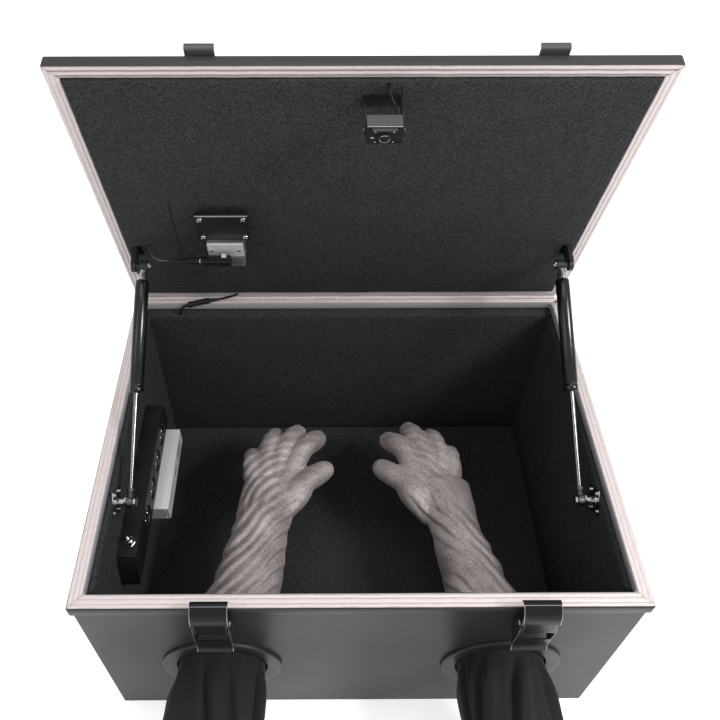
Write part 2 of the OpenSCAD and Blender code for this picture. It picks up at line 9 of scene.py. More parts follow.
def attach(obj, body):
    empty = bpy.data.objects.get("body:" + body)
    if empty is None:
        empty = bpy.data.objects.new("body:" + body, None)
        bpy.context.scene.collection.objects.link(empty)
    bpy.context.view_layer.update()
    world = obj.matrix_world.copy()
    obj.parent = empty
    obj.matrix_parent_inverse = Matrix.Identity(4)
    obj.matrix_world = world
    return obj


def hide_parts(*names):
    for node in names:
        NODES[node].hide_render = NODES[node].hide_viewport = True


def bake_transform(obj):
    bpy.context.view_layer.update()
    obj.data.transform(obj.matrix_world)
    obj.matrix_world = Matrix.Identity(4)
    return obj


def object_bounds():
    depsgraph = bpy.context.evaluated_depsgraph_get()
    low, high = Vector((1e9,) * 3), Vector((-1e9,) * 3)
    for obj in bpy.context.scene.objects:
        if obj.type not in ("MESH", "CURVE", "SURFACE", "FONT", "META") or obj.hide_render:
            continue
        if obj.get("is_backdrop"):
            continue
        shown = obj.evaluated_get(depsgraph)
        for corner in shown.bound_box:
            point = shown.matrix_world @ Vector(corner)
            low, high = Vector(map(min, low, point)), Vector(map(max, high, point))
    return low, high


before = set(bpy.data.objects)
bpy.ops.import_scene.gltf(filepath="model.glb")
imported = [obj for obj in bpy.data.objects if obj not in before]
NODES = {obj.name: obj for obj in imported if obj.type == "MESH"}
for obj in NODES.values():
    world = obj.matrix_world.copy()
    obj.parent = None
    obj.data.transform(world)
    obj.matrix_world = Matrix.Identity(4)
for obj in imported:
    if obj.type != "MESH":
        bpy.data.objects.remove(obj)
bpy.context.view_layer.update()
MM = 0.001
SIDES = {"left": -1, "right": 1}

# sizes of the frame, in millimetres
BOX_H = 358.0
FLANGE_TOP = 356.4
FRONT_Y = -249.0
HINGE_Y, HINGE_Z, LID_OPEN = 255.2, 358.2, 75.8
LID_LOW, LID_FOAM_Z = 360.0, 354.4
PORTS, PORT_Z = {-1: -182.0, 1: 197.0}, 162.0
LATCHES = {-1: -177.0, 1: 208.0}
LATCH_PIN = 2.0
STRUT_X, STRUT_Y, STRUT_Z, STRUT_LEN, STRUT_ANGLE = 305.0, -96.0, 326.0, 331.47, 30.488
STRUT_AT = (0, STRUT_Y, STRUT_Z)
PIVOT_Y, PIVOT_Z = -266.0, 350.0
CLAW_Y, CLAW_Z = -258.5, 320.0
CLAW_AT = (0, CLAW_Y, CLAW_Z)
FOAM_X, FOAM_OUT, FOAM_LOW, FOAM_TOP = 325.0, 344.8, 22.2, 344.0


def shift(x, y, z):
    """A move in millimetres."""
    return Matrix.Translation((x * MM, y * MM, z * MM))


LID = shift(0, HINGE_Y, HINGE_Z) @ Matrix.Rotation(math.radians(-LID_OPEN), 4, "X")
LID = LID @ shift(0, -HINGE_Y, -HINGE_Z)
CAMERA = LID @ shift(23.5, HINGE_Y - 456.2, BOX_H - 46.8)
PLACES = {"lid": LID, "camera": CAMERA}


# ---- finishes ----
class Finish:
    """A node material: one Principled shader and its texture nodes; gloss is short for its specular level."""

    def __init__(self, name, colour, rough, metal=0.0, **sockets):
        self.material = bpy.data.materials.new(name)
        self.material.use_nodes = True
        self.tree = self.material.node_tree
        self.tree.nodes.clear()
        out = self.tree.nodes.new("ShaderNodeOutputMaterial")
        self.shader = self.tree.nodes.new("ShaderNodeBsdfPrincipled")
        self.tree.links.new(self.shader.outputs[0], out.inputs[0])
        self.where = self.tree.nodes.new("ShaderNodeTexCoord").outputs["Object"]
        self.normal = None
        self.put("Base Color", colour)
        self.put("Roughness", rough)
        self.put("Metallic", metal)
        for socket, value in sockets.items():
            self.put("Specular IOR Level" if socket == "gloss" else socket.replace("_", " "), value)

    def put(self, socket, value):
        target = self.shader.inputs[socket]
        if isinstance(value, bpy.types.NodeSocket):
            self.tree.links.new(value, target)
        else:
            target.default_value = (*value, 1.0) if isinstance(value, tuple) else value

    def node(self, kind, inputs, **settings):
        made = self.tree.nodes.new("ShaderNode" + kind)
        for key, value in settings.items():
            setattr(made, key, value)
        for key, value in inputs.items():
            if isinstance(value, bpy.types.NodeSocket):
                self.tree.links.new(value, made.inputs[key])
            else:
                made.inputs[key].default_value = value
        return made

    def stretched(self, x, y, z):
        return self.node("Mapping", {"Vector": self.where, "Scale": (x, y, z)}).outputs[0]

    def noise(self, scale, detail=2.0, at=None):
        inputs = {"Vector": at or self.where, "Scale": scale, "Detail": detail}
        return self.node("TexNoise", inputs).outputs[0]

    def cells(self, scale, feature="F1"):
        return self.node("TexVoronoi", {"Vector": self.where, "Scale": scale}, feature=feature).outputs["Distance"]

    def wave(self, scale, axis, warp):
        inputs = {"Vector": self.where, "Scale": scale, "Distortion": warp, "Detail": 1.0}
        return self.node("TexWave", inputs, bands_direction=axis).outputs[1]

    def total(self, *parts):
        """The sum of (value, share) parts."""
        made = [self.node("Math", {0: value, 1: share}, operation="MULTIPLY").outputs[0] for value, share in parts]
        while len(made) > 1:
            made[:2] = [self.node("Math", {0: made[0], 1: made[1]}, operation="ADD").outputs[0]]
        return made[0]

    def ramp(self, value, *stops):
        made = self.node("ValToRGB", {0: value})
        points = made.color_ramp.elements
        for i, (at, shade) in enumerate(stops):
            point = points[i] if i < 2 else points.new(at)
            point.position = at
        for point, (at, shade) in zip(sorted(points, key=lambda p: p.position), sorted(stops, key=lambda q: q[0])):
            point.position = at
            point.color = (*shade, 1.0) if isinstance(shade, tuple) else (shade, shade, shade, 1.0)
        return made.outputs[0]

    def bump(self, height, strength, distance):
        inputs = {"Height": height, "Strength": strength, "Distance": distance}
        if self.normal is not None:
            inputs["Normal"] = self.normal
        self.normal = self.node("Bump", inputs).outputs[0]
        self.put("Normal", self.normal)


def tinted(colour, share):
    """The colour made darker or lighter."""
    return tuple(c * share for c in colour)


def painted(name, colour, rough, grain=650.0, depth=0.0003, **sockets):
    """Powder coat: orange peel, a little colour drift and patchy gloss."""
    f = Finish(name, colour, rough, **sockets)
    drift = f.noise(7.0, 4.0)
    peel = f.noise(grain, 2.0)
    speck = f.noise(2100.0, 1.0)
    mixed = f.node("Mix", {0: 0.35, 6: f.ramp(drift, (0.3, tinted(colour, 0.86)), (0.7, tinted(colour, 1.12))),
                           7: f.ramp(speck, (0.35, tinted(colour, 0.8)), (0.68, tinted(colour, 1.45)))},
                   data_type="RGBA").outputs[2]
    f.put("Base Color", mixed)
    f.put("Roughness", f.ramp(f.total((drift, 0.5), (peel, 0.5)), (0.3, rough - 0.07), (0.7, rough + 0.07)))
    f.bump(peel, 0.35, depth)
    return f


def metal(name, colour, rough, brushed=None, scratch=0.08):
    """Bare metal: fine lines along one axis, smudges in the gloss."""
    f = Finish(name, colour, rough, 1.0)
    lines = f.noise(1.0, 3.0, f.stretched(*(brushed or (400.0, 400.0, 400.0))))
    smudge = f.noise(45.0, 3.0)
    f.put("Base Color", f.ramp(lines, (0.25, tinted(colour, 0.82)), (0.75, tinted(colour, 1.08))))
    f.put("Roughness", f.ramp(f.total((lines, 0.5), (smudge, 0.5)),
                              (0.3, max(rough - 0.05, 0.03)), (0.7, rough + scratch)))
    f.bump(lines, 0.12, 0.00008)
    return f


def plastic(name, colour, rough, grain=1500.0, strength=0.25, **sockets):
    """Moulded plastic with a spark-eroded grain."""
    f = Finish(name, colour, rough, **sockets)
    grained = f.noise(grain, 2.0)
    worn = f.noise(30.0, 4.0)
    f.put("Base Color", f.ramp(worn, (0.3, tinted(colour, 0.85)), (0.72, tinted(colour, 1.3))))
    f.put("Roughness", f.ramp(worn, (0.3, rough - 0.05), (0.7, rough + 0.1)))
    f.bump(grained, strength, 0.0001)
    return f


def lining(name, low, high):
    """Closed-cell foam: pebbled, almost black, with paler grains."""
    f = Finish(name, low, 0.92, gloss=0.15)
    pebble = f.cells(480.0)
    grain = f.noise(520.0, 4.0)
    broad = f.noise(24.0, 3.0)
    shade = f.total((grain, 0.94), (broad, 0.06))
    middle = tuple((a + b) / 2 for a, b in zip(low, high))
    f.put("Base Color", f.ramp(shade, (0.36, low), (0.55, middle), (0.72, high)))
    f.bump(pebble, 0.6, 0.0007)
    f.bump(grain, 0.5, 0.0005)
    return f


def sealing(name, way):
    """Conductive fabric over foam: silver knit with painted shade, darker, duller and pinker in the grooves and at
    the strip's edges; its ridges point along z or, with way -1, against it."""
    f = Finish(name, (0.5, 0.44, 0.43), 0.5, 0.3)
    # painted shade: the colour is keyed to height, dark in the grooves and at the strip's edges, light on the ridges
    height = f.total((f.node("SeparateXYZ", {0: f.where}).outputs[2], way))
    painted_height_shade = f.node("MapRange", {"Value": height, "From Min": 0.0005, "From Max": 0.0015}).outputs[0]
    crease = f.noise(1.0, 3.0, f.stretched(160.0, 160.0, 30.0))
    height_shade_and_crease = f.total((painted_height_shade, 0.75), (crease, 0.3))
    f.put("Base Color", f.ramp(height_shade_and_crease, (0.12, (0.17, 0.135, 0.132)), (0.45, (0.33, 0.285, 0.277)),
                               (0.95, (0.47, 0.42, 0.41))))
    f.put("Roughness", f.ramp(crease, (0.3, 0.36), (0.7, 0.55)))
    f.bump(f.cells(1400.0), 0.35, 0.00018)
    f.bump(crease, 0.5, 0.0006)
    return f


def cloth():
    """Matt black woven nylon."""
    f = Finish("sleeve_fabric", (0.008, 0.008, 0.009), 0.8, Sheen_Weight=0.04, Sheen_Roughness=0.4, gloss=0.1)
    weave = f.cells(1500.0)
    fuzz = f.noise(700.0, 3.0)
    shade = f.total((weave, 0.5), (fuzz, 0.5))
    f.put("Base Color", f.ramp(shade, (0.25, (0.006, 0.006, 0.0066)), (0.75, (0.015, 0.015, 0.0165))))
    f.bump(weave, 0.3, 0.00025)
    f.bump(fuzz, 0.25, 0.0002)
    return f


def knit():
    """Silver-coated conductive knit: fine loops, sparkle and darker rubbed patches."""
    f = Finish("glove_knit", (0.28, 0.235, 0.22), 0.5, 0.35, Sheen_Weight=0.08, Sheen_Roughness=0.4)
    loops = f.total((f.wave(420.0, "X", 1.6), f.wave(380.0, "Y", 1.6)))
    sparkle = f.noise(620.0, 4.0)
    rubbed = f.noise(22.0, 4.0)
    shade = f.total((sparkle, 0.62), (rubbed, 0.3), (loops, 0.12))
    f.put("Base Color", f.ramp(shade, (0.32, (0.09, 0.073, 0.07)), (0.5, (0.24, 0.206, 0.2)),
                               (0.68, (0.48, 0.436, 0.428))))
    f.put("Roughness", f.ramp(sparkle, (0.3, 0.5), (0.7, 0.7)))
    f.bump(loops, 0.3, 0.0003)
    f.bump(sparkle, 0.3, 0.00022)
    return f


def hammered():
    """Die-cast zinc with a dimpled skin."""
    f = metal("cast_silver", (0.6, 0.6, 0.615), 0.42)
    f.put("Metallic", 0.55)
    f.bump(f.cells(420.0, "SMOOTH_F1"), 0.3, 0.0006)
    return f


COAT = painted("powder_coat", (0.0125, 0.012, 0.0145), 0.42, gloss=0.17)
LID_COAT = painted("lid_coat", (0.021, 0.0205, 0.0235), 0.44, gloss=0.25)
LIP = painted("rim_lip", (0.25, 0.25, 0.262), 0.4, grain=1100.0, depth=0.00015)
RING = painted("port_ring", (0.014, 0.014, 0.0165), 0.4, grain=1100.0, depth=0.00015, gloss=0.2)
LATCH = painted("latch_steel", (0.006, 0.006, 0.007), 0.3, grain=1300.0, depth=0.00012, gloss=0.14)
LATCH_EDGE = metal("latch_edge", (0.3, 0.3, 0.31), 0.34)
KEEPER = painted("keeper_steel", (0.03, 0.03, 0.033), 0.34, grain=1300.0, depth=0.00012)
FOAM = lining("lining_foam", (0.0085, 0.0085, 0.0095), (0.041, 0.041, 0.0445))
SEALS = {1: sealing("conductive_gasket", 1.0), -1: sealing("conductive_gasket_down", -1.0)}
CLOTH = cloth()
KNIT = knit()
HINGE_STEEL = metal("hinge_steel", (0.42, 0.385, 0.38), 0.62, (900.0, 30.0, 900.0))
HINGE_STEEL.put("Metallic", 0.3)
STEEL = metal("bright_steel", (0.4, 0.4, 0.41), 0.24)
DARK_STEEL = metal("dark_steel", (0.09, 0.09, 0.095), 0.32)
CHROME = metal("chrome", (0.46, 0.46, 0.48), 0.1, scratch=0.05)
ROD = metal("strut_rod", (0.13, 0.13, 0.137), 0.16, (40.0, 1500.0, 1500.0))
TUBE_BLACK = plastic("strut_black", (0.003, 0.003, 0.0035), 0.16, grain=300.0, strength=0.04, gloss=0.3)
FITTING = plastic("strut_fitting", (0.009, 0.009, 0.01), 0.4, gloss=0.28)
BLACK = plastic("black_plastic", (0.005, 0.005, 0.006), 0.42, gloss=0.2)
SOCKET = plastic("socket_plastic", (0.007, 0.007, 0.008), 0.34, gloss=0.28)
CABLE = plastic("cable_jacket", (0.003, 0.003, 0.0035), 0.34, grain=700.0, gloss=0.14)
PALE_CABLE = plastic("pale_cable_jacket", (0.03, 0.03, 0.033), 0.32, grain=700.0)
ALUMINIUM = metal("satin_aluminium", (0.62, 0.625, 0.635), 0.42, (900.0, 25.0, 900.0))
ALUMINIUM.put("Metallic", 0.5)
PLATE = metal("plate_metal", (0.07, 0.07, 0.074), 0.36, (30.0, 1200.0, 1200.0))
CAST = hammered()
GREY = painted("grey_block", (0.09, 0.091, 0.094), 0.38, grain=900.0, depth=0.00015)
# dark grey for the junction box's body and side screws and the terminal block's insets: painted shade
GREY_SHADE = plastic("grey_recess", (0.05, 0.05, 0.053), 0.4)
CAM_TOP = painted("camera_cover", (0.03, 0.03, 0.032), 0.36, grain=1500.0, depth=0.0001)
GLASS = Finish("lens", (0.004, 0.003, 0.006), 0.03, Coat_Weight=1.0, Coat_Roughness=0.02)
GLASS.put("Base Color", GLASS.ramp(GLASS.noise(120.0), (0.3, (0.002, 0.002, 0.006)), (0.7, (0.02, 0.006, 0.012))))


# ---- shapes ----
def carry(slot, finish, *names, bevel=0.0):
    """CAD nodes that show as they are, with a procedural finish and broken edges; slot is not used."""
    for name in names:
        node = NODES[name]
        node.data.materials.clear()
        node.data.materials.append(finish.material)
        node.data.set_sharp_from_angle(angle=math.radians(32))
        if bevel:
            edge = node.modifiers.new("edge", "BEVEL")
            edge.width, edge.segments, edge.limit_method = bevel * MM, 2, "ANGLE"
            edge.angle_limit = math.radians(40)
            edge.harden_normals = True


def grid(rows, n, ends=True, wrap=False):
    """Faces between rows of n points, each row closed round; wrap joins the last row to the first."""
    loops = []
    for i in range(rows if wrap else rows - 1):
        a, b = i * n, (i + 1) % rows * n
        loops += [(a + k, a + (k + 1) % n, b + (k + 1) % n, b + k) for k in range(n)]
    if ends:
        loops += [tuple(range(n))[::-1], tuple((rows - 1) * n + k for k in range(n))]
    return loops


def spread(points, count):
    """count points on a smooth curve through the given ones, evenly spaced."""
    p = np.array(points, float)
    ext = np.vstack([2 * p[0] - p[1], p, 2 * p[-1] - p[-2]])
    fine = []
    for i in range(1, len(ext) - 2):
        a, b, c, d = ext[i - 1 : i + 3]
        for t in np.linspace(0, 1, 24, endpoint=False):
            square, cube = 2 * a - 5 * b + 4 * c - d, 3 * b - a - 3 * c + d
            fine.append(0.5 * (2 * b + (c - a) * t + square * t**2 + cube * t**3))
    fine = np.array(fine + [p[-1]])
    along = np.concatenate([[0], np.cumsum(np.linalg.norm(np.diff(fine[:, :3], axis=0), axis=1))])
    want = np.linspace(0, along[-1], count)
    return np.column_stack([np.interp(want, along, fine[:, k]) for k in range(p.shape[1])])


AXES = {"x": (1, 2, 0), "y": (2, 0, 1), "z": (0, 1, 2)}


class Shape:
    """Solids in millimetres, gathered into one mesh."""

    def __init__(self):
        self.bm = bmesh.new()

    def faces(self, corners, loops, mat=0):
        made = [self.bm.verts.new(tuple(map(float, c))) for c in corners]
        for loop in loops:
            face = self.bm.faces.new([made[k] for k in loop])
            face.material_index = mat
        return made

    def bevelled(self, verts, r, segments=2):
        if r <= 0:
            return
        found = set(verts)
        edges = [e for v in verts for e in v.link_edges if e.other_vert(v) in found]
        sharp = [e for e in set(edges) if len(e.link_faces) == 2 and e.calc_face_angle(0) > 0.6]
        bmesh.ops.bevel(self.bm, geom=sharp, offset=r, segments=segments, profile=0.5, affect="EDGES")

    def box(self, lo, hi, r=0.6, mat=0, segments=2):
        c = [(x, y, z) for x in (lo[0], hi[0]) for y in (lo[1], hi[1]) for z in (lo[2], hi[2])]
        loops = [(0, 1, 3, 2), (4, 6, 7, 5), (0, 4, 5, 1), (2, 3, 7, 6), (0, 2, 6, 4), (1, 5, 7, 3)]
        self.bevelled(self.faces(c, loops, mat), r, segments)
        return self

    def lathe(self, profile, centre=(0, 0, 0), axis="x", mat=0, count=36, turn=0.0):
        """[along, radius] stations turned about an axis through centre."""
        a, b, along = AXES[axis]
        corners = []
        for at, radius in profile:
            for k in range(count):
                w = turn + 2 * math.pi * k / count
                p = list(centre)
                p[along] += at
                p[a] += max(radius, 0.01) * math.cos(w)
                p[b] += max(radius, 0.01) * math.sin(w)
                corners.append(p)
        self.faces(corners, grid(len(profile), count), mat)
        return self

    def prism(self, outline, lo, hi, axis="x", r=0.0, mat=0, segments=2):
        """An outline in the two other axes, given thickness along axis."""
        a, b, along = AXES[axis]
        corners = []
        for end in sorted((lo, hi)):
            for u, v in outline:
                p = [0.0, 0.0, 0.0]
                p[a], p[b], p[along] = u, v, end
                corners.append(p)
        self.bevelled(self.faces(corners, grid(2, len(outline)), mat), r, segments)
        return self

    def tube(self, line, radius, mat=0, count=14):
        """A round tube along points; radius is one number or one for each point."""
        line = np.array(line, float)
        radii = np.broadcast_to(radius, len(line))
        tangents = np.gradient(line, axis=0)
        tangents /= np.linalg.norm(tangents, axis=1)[:, None]
        side = np.cross(tangents[0], (0, 0, 1) if abs(tangents[0][2]) < 0.9 else (0, 1, 0))
        angles = np.arange(count) * 2 * math.pi / count
        corners = []
        for p, t, r in zip(line, tangents, radii):
            side = side - t * (side @ t)
            side /= np.linalg.norm(side)
            up = np.cross(t, side)
            corners += [p + r * (math.cos(w) * side + math.sin(w) * up) for w in angles]
        self.faces(corners, grid(len(line), count), mat)
        return self

    def rod(self, half, y, z, radius, mat=0, count=8, middle=0.0):
        """A thin straight bead along x, half its length to each side of the middle."""
        return self.tube([(x, y, z) for x in np.linspace(middle - half, middle + half, 6)], radius, mat, count)

    def frame(self, profile, w, d, r, y_mid=0.0, mat=0, cap=False, trim=False):
        """A closed [offset, z] profile swept round a rounded rectangle; with cap, its two ends are filled instead,
        and with trim it stays inside the rim's skirt."""
        per, skirt_y = 7, 251.0
        corners = []
        for off, z in profile:
            rr = max(r + off, 1.0)
            hx, hy = w / 2 + off - rr, d / 2 + off - rr
            for q in range(4):
                cx, cy = hx * (1 if q in (0, 3) else -1), hy * (1 if q < 2 else -1)
                for k in range(per):
                    t = math.pi / 2 * (q + k / (per - 1))
                    y = y_mid + cy + rr * math.sin(t)
                    corners.append((cx + rr * math.cos(t), min(y, skirt_y) if trim else y, z))
        self.faces(corners, grid(len(profile), 4 * per, ends=cap, wrap=not cap), mat)
        return self

    def object(self, name, finishes, at=None, sharp=38):
        bmesh.ops.recalc_face_normals(self.bm, faces=self.bm.faces)
        for face in self.bm.faces:
            face.smooth = True
        mesh = bpy.data.meshes.new(name)
        self.bm.to_mesh(mesh)
        self.bm.free()
        mesh.transform(Matrix.Scale(MM, 4))
        for f in finishes if isinstance(finishes, (list, tuple)) else [finishes]:
            mesh.materials.append(f.material)
        if sharp:
            mesh.set_sharp_from_angle(angle=math.radians(sharp))
        obj = bpy.data.objects.new(name, mesh)
        bpy.context.scene.collection.objects.link(obj)
        if at is not None:
            obj.matrix_world = at
        return obj

    def piece(self, name, finishes, body, slot, *nodes, at=None):
        """The mesh as a finished piece, on its body's own place unless at says otherwise."""
        return settle(self.object(name, finishes, at or PLACES.get(body)), body, nodes)


def settle(obj, body, replaces=()):
    """Gives a finished piece its body and hides the CAD nodes that it stands for."""
    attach(obj, body)
    if replaces:
        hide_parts(*replaces)
    return obj


def applied(obj):
    """Modifiers worked into the mesh."""
    bpy.context.view_layer.update()
    made = bpy.data.meshes.new_from_object(obj.evaluated_get(bpy.context.evaluated_depsgraph_get()))
    old = obj.data
    obj.modifiers.clear()
    obj.data = made
    bpy.data.meshes.remove(old)
    for polygon in made.polygons:
        polygon.use_smooth = True
    return obj


def carved(obj, cutter):
    """obj with the cutter's solids taken out."""
    tool = cutter.object("cutter", FOAM)
    tool.matrix_world = obj.matrix_world
    cut = obj.modifiers.new("cut", "BOOLEAN")
    cut.operation, cut.object, cut.solver = "DIFFERENCE", tool, "EXACT"
    applied(obj)
    bpy.data.objects.remove(tool)
    obj.data.set_sharp_from_angle(angle=math.radians(50))
    return obj


def soft_slab(name, lo, hi, cell=9.0, r=2.5, wave=0.6, seed=0.0, at=None):
    """A foam panel: rounded edges and a surface that is never quite flat."""
    steps = []
    for a, b in zip(lo, hi):
        inner = np.linspace(a + r, b - r, max(2, int((b - a - 2 * r) / cell) + 1))
        steps.append([a, a + 0.3 * r, *inner, b - 0.3 * r, b])
    lo_in, hi_in = np.array(lo) + r, np.array(hi) - r
    shape, made = Shape(), {}

    def corner(i, j, k):
        if (i, j, k) not in made:
            p = np.array([steps[0][i], steps[1][j], steps[2][k]])
            q = np.clip(p, lo_in, hi_in)
            n = (p - q) / max(np.linalg.norm(p - q), 1e-9)
            p = q + n * r
            v = Vector(p) + Vector((seed, seed * 0.7, seed * 0.3))
            lift = 0.7 * noise.noise(v / 70.0) + 0.3 * noise.noise(v / 19.0)
            made[(i, j, k)] = shape.bm.verts.new(p + n * wave * (lift - 0.5))
        return made[(i, j, k)]

    sizes = [len(s) for s in steps]
    for axis in range(3):
        u, v = [x for x in range(3) if x != axis]
        for end in (0, sizes[axis] - 1):
            for i in range(sizes[u] - 1):
                for j in range(sizes[v] - 1):
                    quad = []
                    for du, dv in ((0, 0), (1, 0), (1, 1), (0, 1)):
                        at_ijk = [0, 0, 0]
                        at_ijk[axis], at_ijk[u], at_ijk[v] = end, i + du, j + dv
                        quad.append(corner(*at_ijk))
                    shape.bm.faces.new(quad)
    return shape.object(name, FOAM, at, sharp=60)


def padded_panel(obj, body, nodes):
    """A finished foam panel."""
    settle(obj, body, nodes)


def cap_screw(shape, centre, axis, out, r, h, mat=0, dark=1):
    """A round-headed screw with a hexagon socket; out is +1 or -1 along axis."""
    shape.lathe([(0, r), (out * (h - 0.5), r), (out * (h - 0.1), r - 0.35), (out * h, r - 0.7), (out * h, r * 0.5)],
                centre, axis, mat, 22)
    shape.lathe([(out * (h + 0.02), r * 0.5), (out * (h - 1.0), r * 0.5)], centre, axis, dark, 6)
    return shape


# ---- tub and rim ----
carry("powder_coat", COAT, "outer_shell", "front_panel")

rim = Shape().frame([(0, 339.2), (-0.5, 338.3), (-1.4, 338), (-2.4, 338.3), (-3, 339.2), (-3, 354.8), (-8.0, 354.8),
                     (-8.0, 356.4), (-1.2, 356.4), (-0.4, 356), (0, 355.2)], 700, 504, 2.5)
rim.frame([(0.0, 353.2), (0.25, 352.8), (0.25, 351.6), (0.0, 351.2), (-0.6, 352.2)], 699.6, 503.6, 2.5)
# the flange's inner part and its folded lip, round a mouth that reaches nearer to the hinge
MOUTH_W, MOUTH_D, MOUTH_MID = 664.0, 477.0, 4.5
rim.frame([(0, 355.8), (0, 345), (0.4, 344.4), (1.1, 344.4), (1.5, 345), (1.5, 354.7), (11, 354.7), (11, 356.3),
           (0, 356.3)], MOUTH_W, MOUTH_D, 4, MOUTH_MID, mat=1, trim=True)
rim.piece("rim_channel", [COAT, LIP], "tub", "powder_coat", "rim_frame")

# [inset, height] across the strip: nearly flat, with fine grooves, and with stronger ridges near the hinge
FLAT = [(0, 0), (0.2, 0.9), (0.8, 1.35), (2.0, 1.5), (4.4, 1.5), (5.0, 1.2), (5.5, 1.15), (6.0, 1.45), (7.5, 1.55),
        (9.0, 1.5), (10.6, 1.55), (11.1, 1.2), (11.6, 1.2), (12.2, 1.5), (14.2, 1.5), (15.5, 1.4), (16.1, 0.9),
        (16.3, 0)]
RIDGED = [(0, 0), (0.3, 0.85), (1.2, 1.3), (2.6, 1.55), (4.1, 1.45), (5.3, 0.8), (6.1, 0.45), (7.0, 0.75), (8.2, 1.4),
          (9.2, 1.58), (10.2, 1.6), (11.3, 1.42), (12.3, 0.8), (13.1, 0.5), (14.0, 0.75), (15.2, 0.95), (16.0, 0.6),
          (16.3, 0)]


def gasket(name, w, d, y_mid, z, turn, body, node, at, seed):
    """Four lengths of ridged conductive strip, mitred at the corners; turn is 1 with its ridges up, -1 down."""
    shape = Shape()
    for q in range(4):
        half_long, half_short = (w / 2, d / 2) if q % 2 == 0 else (d / 2, w / 2)
        n = int(2 * half_long / 5)
        corners = []
        narrow = 0.5 if turn > 0 and q == 2 else 1.0
        for i in range(n + 1):
            t = -1 + 2 * i / n
            for u, h in RIDGED if (q == 2) == (turn > 0) and q % 2 == 0 else FLAT:
                u *= narrow
                along = t * (half_long - u / narrow) - math.copysign(0.25, t) * (abs(t) == 1)
                v = Vector((along / 26.0 + seed, q * 9.0 + seed, 0))
                drift = narrow * (0.45 * noise.noise(v) + 0.2 * noise.noise(v * 4.0))
                out = half_short - u + drift * (0 < u < 16.2 * narrow)
                fade = min(1.0, (1 - abs(t)) * half_long / 4.0)
                top = h * (0.86 + 0.14 * fade) * (1 + 0.1 * noise.noise(v * 5.0 + Vector((0, u / 5.0, 3))))
                x, y = ((along, -out), (out, along), (-along, out), (-out, -along))[q]
                corners.append((x, y, min(top, 1.6) * turn))
        shape.faces(corners, grid(n + 1, len(FLAT)))
    settle(shape.object(name, SEALS[turn], at @ shift(0, y_mid, z), sharp=50), body, [node])


gasket("rim_seal", 698, 502, 0, FLANGE_TOP, 1, "tub", "rim_gasket", Matrix(), 0.0)
gasket("lid_seal", 694, 498, 2, LID_LOW, -1, "lid", "lid_gasket", LID, 40.0)
# a narrow bead behind the rear strip, which closes the slit in front of the hinge's knuckles
bead = Shape().box((-346, 250.9, -0.1), (346, 251.95, 1.2), 0.25)
settle(bead.object("rim_seal_bead", SEALS[1], shift(0, 0, FLANGE_TOP)), "tub")

# ---- foam lining ----
floor = soft_slab("floor_pad", (-FOAM_OUT, -244.8, 2.2), (FOAM_OUT, 244.8, 22), wave=0.8, seed=3.0)
padded_panel(floor, "tub", ["floor_foam"])
back = soft_slab("back_pad", (-341.8, 227, FOAM_LOW), (341.8, 244.9, FOAM_TOP), wave=0.9, seed=11.0)
padded_panel(back, "tub", ["back_foam"])
front = soft_slab("front_pad", (-341.8, -244.9, FOAM_LOW), (341.8, -227, FOAM_TOP), wave=0.9, seed=17.0)
holes = Shape()
for s in SIDES.values():
    holes.lathe([(-260, 63.8), (-215, 63.8)], (PORTS[s], 0, PORT_Z), "y", count=48)
padded_panel(carved(front, holes), "tub", ["front_foam"])
for side, s in SIDES.items():
    x0, x1 = sorted((s * FOAM_X, s * FOAM_OUT))
    wall = soft_slab(side + "_pad", (x0, -226.6, FOAM_LOW), (x1, 226.6, FOAM_TOP), wave=1.2, seed=23.0 + 9 * s)
    hole = Shape().lathe([(x0 - 5, 5.4), (x1 + 5, 5.4)], STRUT_AT, "x", count=24)
    padded_panel(carved(wall, hole), "tub", [side + "_foam"])

lid_pad = soft_slab("lid_pad", (-330, -230, LID_FOAM_Z), (330, 234, 373.4), wave=0.8, seed=31.0, at=LID)
cuts = Shape()


def knife(points, width=1.1, depth=4.0):
    """A knife cut in the lid's foam along [x, y] points."""
    line = spread(points, 26)
    side = np.gradient(line, axis=0)
    side = np.column_stack([-side[:, 1], side[:, 0]]) / np.linalg.norm(side, axis=1)[:, None]
    over, under = LID_FOAM_Z - 2, LID_FOAM_Z + depth
    wedge = ((-width / 2, over), (width / 2, over), (0.15, under), (-0.15, under))
    corners = [(p[0] + n[0] * off, p[1] + n[1] * off, z) for p, n in zip(line, side) for off, z in wedge]
    cuts.faces(corners, grid(len(line), len(wedge)))


knife([(-244, -18), (-249, -13), (-251, -4), (-251.5, 40), (-252, 90), (-252, 128)], 1.6)
knife([(-120, 8), (-121, 50), (-124, 100), (-125, 130), (-128, 138), (-135, 141)], 0.9, 2.5)
knife([(-236, -20), (-200, -22), (-160, -21), (-128, -18)], 0.5, 1.2)
knife([(-279, 83), (-275, 76), (-268, 72)], 0.8, 1.5)
for x, y in ((-258.4, -119.6), (282.6, 90.2)):
    ring = [(x + 8.5 * math.cos(w), y + 8.5 * math.sin(w)) for w in np.linspace(0.3, 6.1, 14)]
    knife(ring, 0.9, 2.0)
cuts.lathe([(LID_FOAM_Z - 3, 3.4), (LID_FOAM_Z + 6, 2.4)], (-296, 94, 0), "z", count=20)
cuts.lathe([(LID_FOAM_Z - 3, 2.6), (LID_FOAM_Z + 6, 2.0)], (29, -224, 0), "z", count=20)
for s in SIDES.values():
    cuts.box((s * 315 - 6.5, 95.8, 340), (s * 315 + 6.5, 118.8, 380), 0)
padded_panel(carved(lid_pad, cuts), "lid", ["lid_foam"])

# ---- lid ----
lid = Shape().frame([(-17, 361.6), (-17, 360.4), (-16.5, 360), (-1.2, 360), (-0.35, 360.35), (0, 361.2), (0, 373.2),
                     (-0.25, 374.3), (-0.8, 375.1), (-1.7, 375.5)], 696, 500, 3, y_mid=2, cap=True)
lid.piece("lid_pan", LID_COAT, "lid", "lid_coat", "lid_shell")

